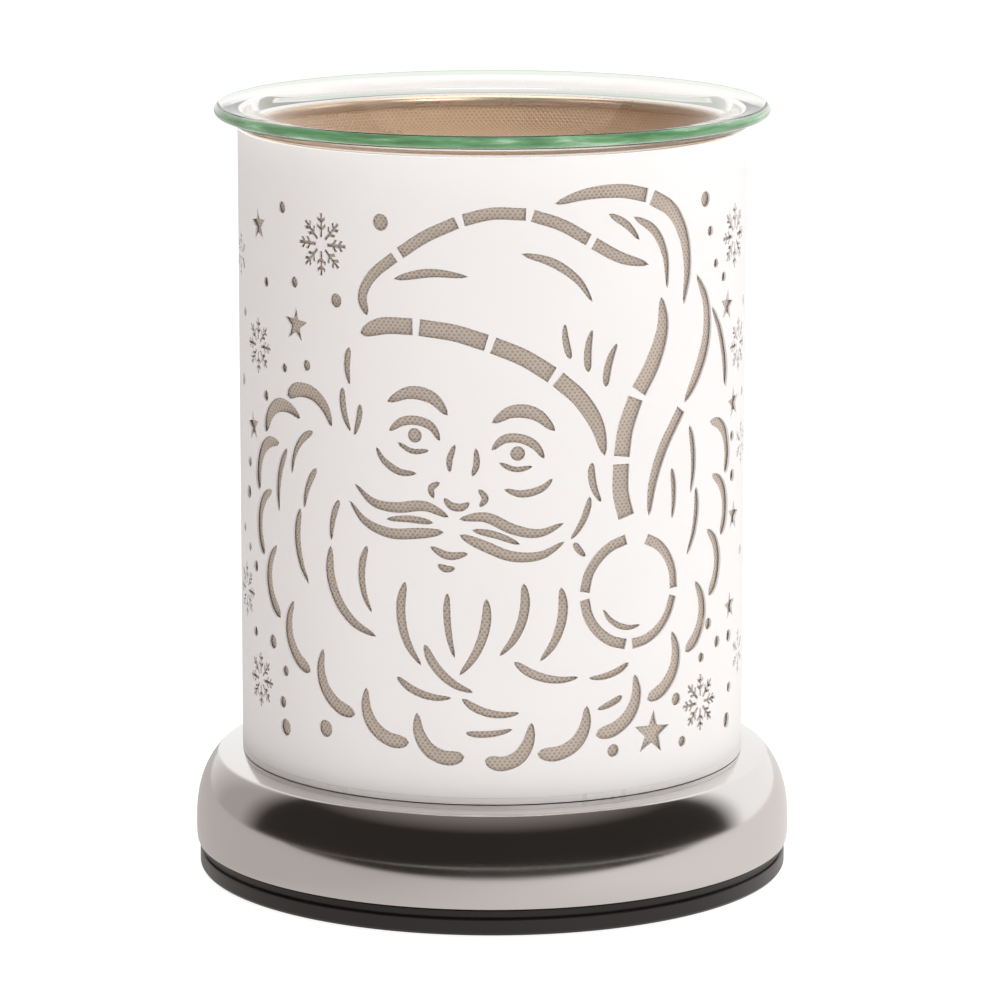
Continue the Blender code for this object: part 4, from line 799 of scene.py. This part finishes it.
def base_cover(finishes):
    """The spun bun: flat under the seat, a full shoulder, and a lower edge that curls in over the plate."""
    shoulder = [point for point in shoulder_profile() if point[1] < COVER_TOP - 0.35]
    flat = [(STEM_HOLE, COVER_TOP), (SEAT_RADIUS - 0.6, COVER_TOP), (SEAT_RADIUS + 0.1, COVER_TOP - 0.12)]
    edge = [(COVER_RADIUS - 0.02, 8.0), (COVER_RADIUS - 0.08, 7.0), (COVER_RADIUS - 0.2, 6.3),
            (COVER_RADIUS - COVER_CURL, COVER_BOTTOM)]
    outer = flat + shoulder + edge
    inner = [(max(radius - COVER_WALL, STEM_HOLE), min(height, COVER_TOP - COVER_WALL))
             for radius, height in outer[::-1]]
    inner[0] = (COVER_RADIUS - COVER_CURL - COVER_WALL, COVER_BOTTOM)
    return turned("cover_shell", outer + inner, finishes["chrome"], "warmer", ["base_cover"])


SEAT_SPREAD = 0.285
SEAT_THICK = 0.8


def seat_ring(finishes):
    """The pressed seat: a rounded rim flush with the shade, and the collar that locates shade and liner."""
    collar_outer, collar_inner, plate_top = 52.45, 51.65, SEAT_BOTTOM + SEAT_THICK
    rim_low = SEAT_BOTTOM - SEAT_SPREAD
    corners = [(STEM_HOLE, plate_top, 0.0), (collar_inner, plate_top, 0.5), (collar_inner, SEAT_HIGHEST, 0.3),
               (collar_outer, SEAT_HIGHEST, 0.3), (collar_outer, plate_top, 0.5),
               (SEAT_RADIUS, plate_top + SEAT_SPREAD, 0.12), (SEAT_RADIUS, rim_low, 0.06),
               (STEM_HOLE, rim_low, 0.0)]
    return turned("seat_ring", rounded(corners), finishes["satin"], "warmer", ["seat_plate"])


def plate_profile():
    """The black plate's side: a lip under the cover, a shallow waist, and a wall down to the foot."""
    floor_top, floor_bottom, spigot_inner, spigot_outer, rim_top = 4.0, 2.0, 60.8, 62.4, 5.5
    waist = PLATE_RADIUS - 0.9
    return [(0.0, floor_top, 0.0), (spigot_inner, floor_top, 0.6), (spigot_inner, PLATE_HIGHEST, 0.3),
            (spigot_outer, PLATE_HIGHEST, 0.3), (spigot_outer, rim_top, 0.2), (waist, rim_top, 0.2),
            (waist, 3.9, 0.25), (PLATE_RADIUS, 3.7, 0.3), (PLATE_RADIUS, 0.8, 0.5),
            (PLATE_RADIUS - 0.4, PLATE_BOTTOM, 0.3), (spigot_inner, PLATE_BOTTOM, 0.4),
            (spigot_inner, floor_bottom, 0.4), (0.0, floor_bottom, 0.0)]


def hidden_box(name, low, high):
    """A box for a Boolean to take away. It isn't a piece of the object."""
    shape = bmesh.new()
    bmesh.ops.create_cube(shape, size=1.0)
    for vertex in shape.verts:
        vertex.co = [MM * (a + b) / 2 + co * MM * (b - a) for co, a, b in zip(vertex.co, low, high)]
    return new_object(name, finished_mesh(name, shape))


def hidden_rod(name, radius, low, high, centre):
    """The same for an upright rod."""
    shape = bmesh.new()
    bmesh.ops.create_cone(shape, cap_ends=True, segments=48, radius1=radius * MM, radius2=radius * MM,
                          depth=(high - low) * MM)
    middle = (centre[0] * MM, centre[1] * MM, (low + high) / 2 * MM)
    bmesh.ops.translate(shape, verts=shape.verts, vec=middle)
    return new_object(name, finished_mesh(name, shape))


def bake_modifiers(obj):
    """Keeps the shape that obj's modifiers give as its mesh."""
    bpy.context.view_layer.update()
    graph = bpy.context.evaluated_depsgraph_get()
    mesh = bpy.data.meshes.new_from_object(obj.evaluated_get(graph))
    obj.modifiers.clear()
    obj.data = mesh


def cut_away(obj, cutters):
    """Cuts each cutter out of obj, keeps the result as obj's mesh and drops the cutters."""
    for cutter in cutters:
        hole = obj.modifiers.new(cutter.name, "BOOLEAN")
        hole.object = cutter
        hole.solver = "EXACT"
    bake_modifiers(obj)
    obj.data.shade_smooth()
    obj.data.set_sharp_from_angle(angle=SHARP_ANGLE)
    for cutter in cutters:
        bpy.data.objects.remove(cutter)


def base_plate(finishes):
    """The bottom plate, with the holes for the cord's bush and the screws, and the notch for the cord."""
    plate = turned("plate_moulding", rounded(plate_profile()), finishes["black"], "warmer", ["base_plate"])
    gland_low, gland_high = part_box("cord_gland")
    hole_y = (gland_low.y + gland_high.y) / 2 / MM
    screw_low, screw_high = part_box("base_screw_2")
    screw_x = (screw_low.x + screw_high.x) / 2 / MM
    below, above = -1.0, 9.5
    cutters = [hidden_rod("cord hole", 4.6, below, above, (0.0, hole_y)),
               hidden_box("cord notch", (-3.5, 59.8, below), (3.5, PLATE_RADIUS + 1.0, 4.8))]
    for side in (-1, 1):
        cutters.append(hidden_rod(f"screw hole {side}", 2.0, below, above, (side * screw_x, 0.0)))
    cut_away(plate, cutters)
    return plate


# Shade


SHEET_COLUMN = 1.5
SHEET_ROW = 4.0
SLIVER = 0.001


def signed_area(outline):
    return sum(a[0] * b[1] - b[0] * a[1] for a, b in zip(outline, outline[1:] + outline[:1])) / 2


def flat_mesh(outlines, half_turn, low, high):
    """Triangles over the unrolled sheet, with every outline cut out of it: (points, triangles)."""
    points, edges, faces = [], [], []
    for outline in outlines:
        outline = outline if signed_area(outline) > 0 else outline[::-1]
        start = len(points)
        points += outline
        edges += [(start + i, start + (i + 1) % len(outline)) for i in range(len(outline))]
        faces.append([start + i for i in range(len(outline))])
    columns, rows = round(2 * half_turn / SHEET_COLUMN), round((high - low) / SHEET_ROW)
    for j in range(rows + 1):
        z = low + (high - low) * j / rows
        for i in range(columns + 1):
            points.append((-half_turn + 2 * half_turn * i / columns, z))
    made = delaunay_2d_cdt([Vector(p) for p in points], edges, faces, 0, 1e-5)
    vertices, triangles, sources = made[0], made[2], made[5]
    points = [(v.x, v.y) for v in vertices]
    kept = [triangle for triangle, source in zip(triangles, sources) if not source]
    return points, [corners for corners in kept if not is_sliver([points[i] for i in corners])]


def is_sliver(corners):
    """Whether three points lie on one straight border of the sheet."""
    return any(max(values) - min(values) < SLIVER for values in zip(*corners))


def roll(point, radius, height):
    """A point of the unrolled sheet on a cylinder. Lengths along the sheet are those at SHADE_RADIUS."""
    turn = point / SHADE_RADIUS
    return (radius * math.sin(turn) * MM, -radius * math.cos(turn) * MM, height * MM)


def rolled_sheet(name, points, triangles, outer, inner):
    """Both faces and every cut edge of a sheet of metal rolled into a tube."""
    shape = bmesh.new()
    front = [shape.verts.new(roll(s, outer, z)) for s, z in points]
    back = [shape.verts.new(roll(s, inner, z)) for s, z in points]
    for a, b, c in triangles:
        shape.faces.new((front[a], front[b], front[c]))
        shape.faces.new((back[c], back[b], back[a]))
    bmesh.ops.remove_doubles(shape, verts=shape.verts, dist=1e-6)
    shape.edges.ensure_lookup_table()
    twin = {}
    for one, other in zip(front, back):
        if one.is_valid and other.is_valid:
            twin[one] = other
    for edge in [edge for edge in shape.edges if edge.is_boundary]:
        one, other = edge.verts
        if one not in twin or other not in twin:
            continue
        loop = edge.link_loops[0]
        first, second = loop.vert, loop.link_loop_next.vert
        shape.faces.new((second, first, twin[first], twin[second]))
    loose = [vertex for vertex in shape.verts if not vertex.link_faces]
    bmesh.ops.delete(shape, geom=loose, context="VERTS")
    bmesh.ops.recalc_face_normals(shape, faces=shape.faces)
    for face in shape.faces:
        face.smooth = True
        centre = face.calc_center_median()
        radial = Vector((centre.x, centre.y, 0.0)).normalized()
        if abs(face.normal.dot(radial)) < 0.5:
            face.smooth = False
    mesh = finished_mesh(name, shape)
    mesh.set_sharp_from_angle(angle=SHARP_ANGLE)
    return mesh


def shade(finishes):
    half_turn = math.pi * SHADE_RADIUS
    points, triangles = flat_mesh(pattern(), half_turn, SHADE_BOTTOM, SHADE_TOP)
    mesh = rolled_sheet("pierced_shade", points, triangles, SHADE_RADIUS, SHADE_RADIUS - SHADE_WALL)
    mesh.materials.append(finishes["white"])
    obj = new_object("pierced_shade", mesh)
    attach(obj, "warmer")
    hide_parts("outer_shade")
    return obj


def shade_seam(finishes):
    """The lap weld that closes the rolled sheet at the back."""
    radius = SHADE_RADIUS - 0.25
    curve = bpy.data.curves.new("shade_seam", "CURVE")
    curve.dimensions = "3D"
    curve.bevel_depth = 0.24 * MM
    curve.bevel_resolution = 4
    curve.use_fill_caps = True
    spline = curve.splines.new("POLY")
    heights = [SHADE_BOTTOM + 0.6 + (SHADE_TOP - SHADE_BOTTOM - 1.2) * i / 40 for i in range(41)]
    spline.points.add(len(heights) - 1)
    for i, (knot, height) in enumerate(zip(spline.points, heights)):
        knot.co = (0.05 * MM * math.sin(i * 1.7), radius * MM, height * MM, 1.0)
    obj = new_object("shade_seam", curve)
    curve.materials.append(finishes["white"])
    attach(obj, "warmer")
    return obj


# Liner, dish and lamp


LINER_BEAD = 1.25


def liner(finishes):
    """The perforated tube just behind the shade, and the bead rolled at its top, which carries the dish."""
    across, up = LINER_FACE - LINER_BEAD, LINER_TOP - LINER_BEAD
    inner = LINER_FACE - LINER_WALL
    tube = [(LINER_FACE, up), (LINER_FACE, LINER_BOTTOM), (inner, LINER_BOTTOM), (inner, up)]
    sheet = turned("liner_tube", tube, finishes["liner"], "warmer", ["inner_liner"])
    sheet.data.materials.append(finishes["liner lit inside"])
    bake_modifiers(sheet)
    wall_middle = (LINER_FACE - LINER_WALL / 2) * MM
    # Faces on the inside take the lit copy: painted light.
    for face in sheet.data.polygons:
        face.material_index = int(math.hypot(face.center.x, face.center.y) < wall_middle)
    turns = [math.radians(degrees) for degrees in range(360, 0, -15)]
    ring = [(across + LINER_BEAD * math.cos(a), up + LINER_BEAD * math.sin(a)) for a in turns]
    turned("liner_bead", ring, finishes["bead"], "warmer", ())


DISH_WALL = 2.4
BOWL_RISE = 3.9
RIM_ROUND = 1.3
EDGE_DEPTH = 2.4
EDGE_TOP_SLOPE = 0.86


def dish_profile():
    """The glass's section: out over the bowl and the flange, round the rim and back underneath."""
    floor_top, middle = DISH_BOTTOM + DISH_WALL, DISH_RADIUS - RIM_ROUND
    inside = [(0.0, floor_top, 0.0), (26.0, floor_top, 9.0), (40.0, floor_top + BOWL_RISE, 12.0),
              (51.2, DISH_TOP - 1.2, 4.0), (middle, DISH_TOP - 0.05, 1.2), (DISH_RADIUS, DISH_TOP, 0.0)]
    upper = [point for point in rounded(inside, 10)[:-1] if point[0] < middle + 0.05]
    turns = [math.radians(degrees) for degrees in range(0, 181, 15)]
    rim = [(middle + RIM_ROUND * math.sin(a), DISH_TOP - RIM_ROUND + RIM_ROUND * math.cos(a)) for a in turns]
    lower = [(DISH_RADIUS - 3.6, DISH_TOP - 3.2, 0.0), (55.4, DISH_TOP - 4.5, 1.0),
             (51.5, DISH_TOP - 5.0, 4.0), (40.6, DISH_BOTTOM + BOWL_RISE, 10.0), (26.5, DISH_BOTTOM, 8.0),
             (0.0, DISH_BOTTOM, 0.0)]
    return upper + rim + rounded(lower, 10)


def dish(finishes):
    """The glass dish. The outer faces of its rim show green."""
    profile = dish_profile()
    obj = turned("dish_glass", profile, finishes["glass"], "dish", ["glass_dish"])
    obj.data.materials.append(finishes["glass edge"])
    bake_modifiers(obj)
    edge_start = (DISH_RADIUS - EDGE_DEPTH) * MM
    for face in obj.data.polygons:
        outside = math.hypot(face.center.x, face.center.y) > edge_start
        face.material_index = int(outside and face.normal.z < EDGE_TOP_SLOPE)
    return obj


def lamp_reflector(finishes):
    """A pressed mirror cup with rings of small facets."""
    low, high = LAMP_BOTTOM, LAMP_TOP
    span, throat, throat_height, steps = high - low, 8.4, 2.0, 14
    outer = [(LAMP_RADIUS, high, 0.0), (LAMP_RADIUS, high - 3.0, 1.0), (23.3, low + 0.77 * span, 4.0),
             (20.1, low + 0.49 * span, 4.0), (15.5, low + 0.215 * span, 4.0), (11.8, low, 0.0)]
    inner = [(throat, low), (throat, low + throat_height)]
    for i in range(1, steps + 1):
        t = i / steps
        radius = throat + 15.2 * math.sin(t * math.pi / 2) ** 0.9
        inner.append((radius, low + throat_height + (span - throat_height) * t ** 1.35))
    cup = turned("reflector_cup", rounded(outer) + inner, finishes["mirror"], "lamp", ["lamp_reflector"],
                 steps=72)
    cup.modifiers["turn"].use_smooth_shade = False
    return cup


# Stage


def area_light(name, place, target, size, power, colour=(1.0, 1.0, 1.0)):
    light = bpy.data.lights.new(name, "AREA")
    light.shape = "RECTANGLE"
    light.size, light.size_y = size
    light.energy = power
    light.color = colour
    obj = new_object(name, light)
    obj.location = place
    obj.rotation_euler = (Vector(target) - obj.location).to_track_quat("-Z", "Y").to_euler()
    obj.visible_glossy = False


ROOM_DARK = (0.030, 0.026, 0.023)
ROOM_CEILING = (0.26, 0.235, 0.215)
WALL_LEFT = (0.46, 0.42, 0.41)
WALL_WHITE = (1.08, 1.08, 1.08)
# Painted light and shade of the table as polished metal mirrors it: darker to the left, brighter to the
# right.
TABLE_LEFT = (0.56, 0.52, 0.50)
TABLE_RIGHT = (0.84, 0.80, 0.78)
CARD_REACH = 0.157


def studio_world():
    """White all round the back, and a dark room in front above the table, which polished metal mirrors."""
    world = bpy.data.worlds.new("studio")
    bpy.context.scene.world = world
    world.use_nodes = True
    nodes, links = world.node_tree.nodes, world.node_tree.links
    background = nodes["Background"]
    split = nodes.new("ShaderNodeSeparateXYZ")
    links.new(nodes.new("ShaderNodeTexCoord").outputs["Generated"], split.inputs[0])
    behind = remap(nodes, links, split.outputs["Y"], 0.20, 0.42, 0.0, 1.0)
    below = remap(nodes, links, split.outputs["Z"], -0.02, 0.02, 1.0, 0.0)
    bright = math_node(nodes, links, "MAXIMUM", behind, below)
    leftward = remap(nodes, links, split.outputs["X"], -0.75, -0.15, 0.0, 1.0)
    white = mix_colour(nodes, links, leftward, WALL_LEFT, WALL_WHITE)
    overhead = remap(nodes, links, split.outputs["Z"], 0.68, 0.985, 0.0, 1.0)
    room = mix_colour(nodes, links, overhead, ROOM_DARK, ROOM_CEILING)
    links.new(mix_colour(nodes, links, bright, room, white), background.inputs["Color"])
    background.inputs["Strength"].default_value = 1.0


def ground(name, height, reach, made):
    """A level square sheet just under the object, whose sides are reach from its middle."""
    shape = bmesh.new()
    bmesh.ops.create_grid(shape, x_segments=1, y_segments=1, size=reach)
    obj = new_object(name, finished_mesh(name, shape))
    obj.location.z = height
    obj.data.materials.append(made)
    return obj


def floor():
    made, _, _, shader = new_material("pale floor")
    set_shader(shader, Base_Color=(0.30, 0.30, 0.30, 1.0), Roughness=0.9, Specular_IOR_Level=0.0)
    set_shader(shader, Emission_Color=(1.0, 1.0, 1.0, 1.0), Emission_Strength=0.90)
    ground("floor", -0.0002, 4.0, made).visible_glossy = False


def mirrored_table():
    """An emitting sheet seen only in reflections, standing for the table top: its colour is painted light and
    shade, pale near the base and darker to the left, and dark beyond CARD_REACH in front.
    """
    made, nodes, links, shader = new_material("mirrored table")
    split = nodes.new("ShaderNodeSeparateXYZ")
    links.new(object_point(nodes), split.inputs[0])
    in_front = remap(nodes, links, split.outputs["Y"], -CARD_REACH - 0.02, -CARD_REACH + 0.02, 0.0, 1.0)
    across = remap(nodes, links, split.outputs["X"], -0.07, 0.07, 0.0, 1.0)
    pale = mix_colour(nodes, links, across, TABLE_LEFT, TABLE_RIGHT)
    links.new(mix_colour(nodes, links, in_front, ROOM_DARK, pale), shader.inputs["Emission Color"])
    set_shader(shader, Base_Color=(0.0, 0.0, 0.0, 1.0), Specular_IOR_Level=0.0, Emission_Strength=1.0)
    obj = ground("mirrored_table", -0.0001, 3.0, made)
    obj.visible_camera = False
    obj.visible_diffuse = False
    obj.visible_shadow = False
    obj.visible_transmission = False


CAMERA_PLACE = (0.0, -1.16124, 0.30955)
CAMERA_DIP = math.radians(11.1689)
CAMERA_LENS = 193.82
CAMERA_SHIFT = 0.01025


def camera():
    data = bpy.data.cameras.new("camera")
    data.sensor_width = 36.0
    data.lens = CAMERA_LENS
    data.shift_x = CAMERA_SHIFT
    obj = new_object("camera", data)
    obj.location = CAMERA_PLACE
    obj.rotation_euler = (math.pi / 2 - CAMERA_DIP, 0.0, 0.0)
    bpy.context.scene.camera = obj


def studio():
    middle = (0.0, 0.0, 0.09)
    studio_world()
    area_light("key", (0.75, -1.35, 0.85), middle, (0.9, 0.9), 13.5, (1.0, 0.99, 0.99))
    area_light("fill", (-1.2, -1.0, 0.45), middle, (0.8, 1.0), 3.8, (1.0, 0.92, 0.885))
    area_light("top", (0.0, 0.1, 1.6), (0.0, 0.0, 0.0), (1.4, 1.4), 18.0)
    area_light("right rim", (1.2, 0.1, 0.5), middle, (0.5, 0.9), 3.5)
    view = bpy.context.scene.view_settings
    view.view_transform = "Standard"


def main():
    finishes = all_materials()
    camera()
    studio()
    floor()
    mirrored_table()
    finish_cad_nodes(finishes)
    base_cover(finishes)
    base_plate(finishes)
    seat_ring(finishes)
    shade(finishes)
    shade_seam(finishes)
    liner(finishes)
    dish(finishes)
    lamp_reflector(finishes)


main()
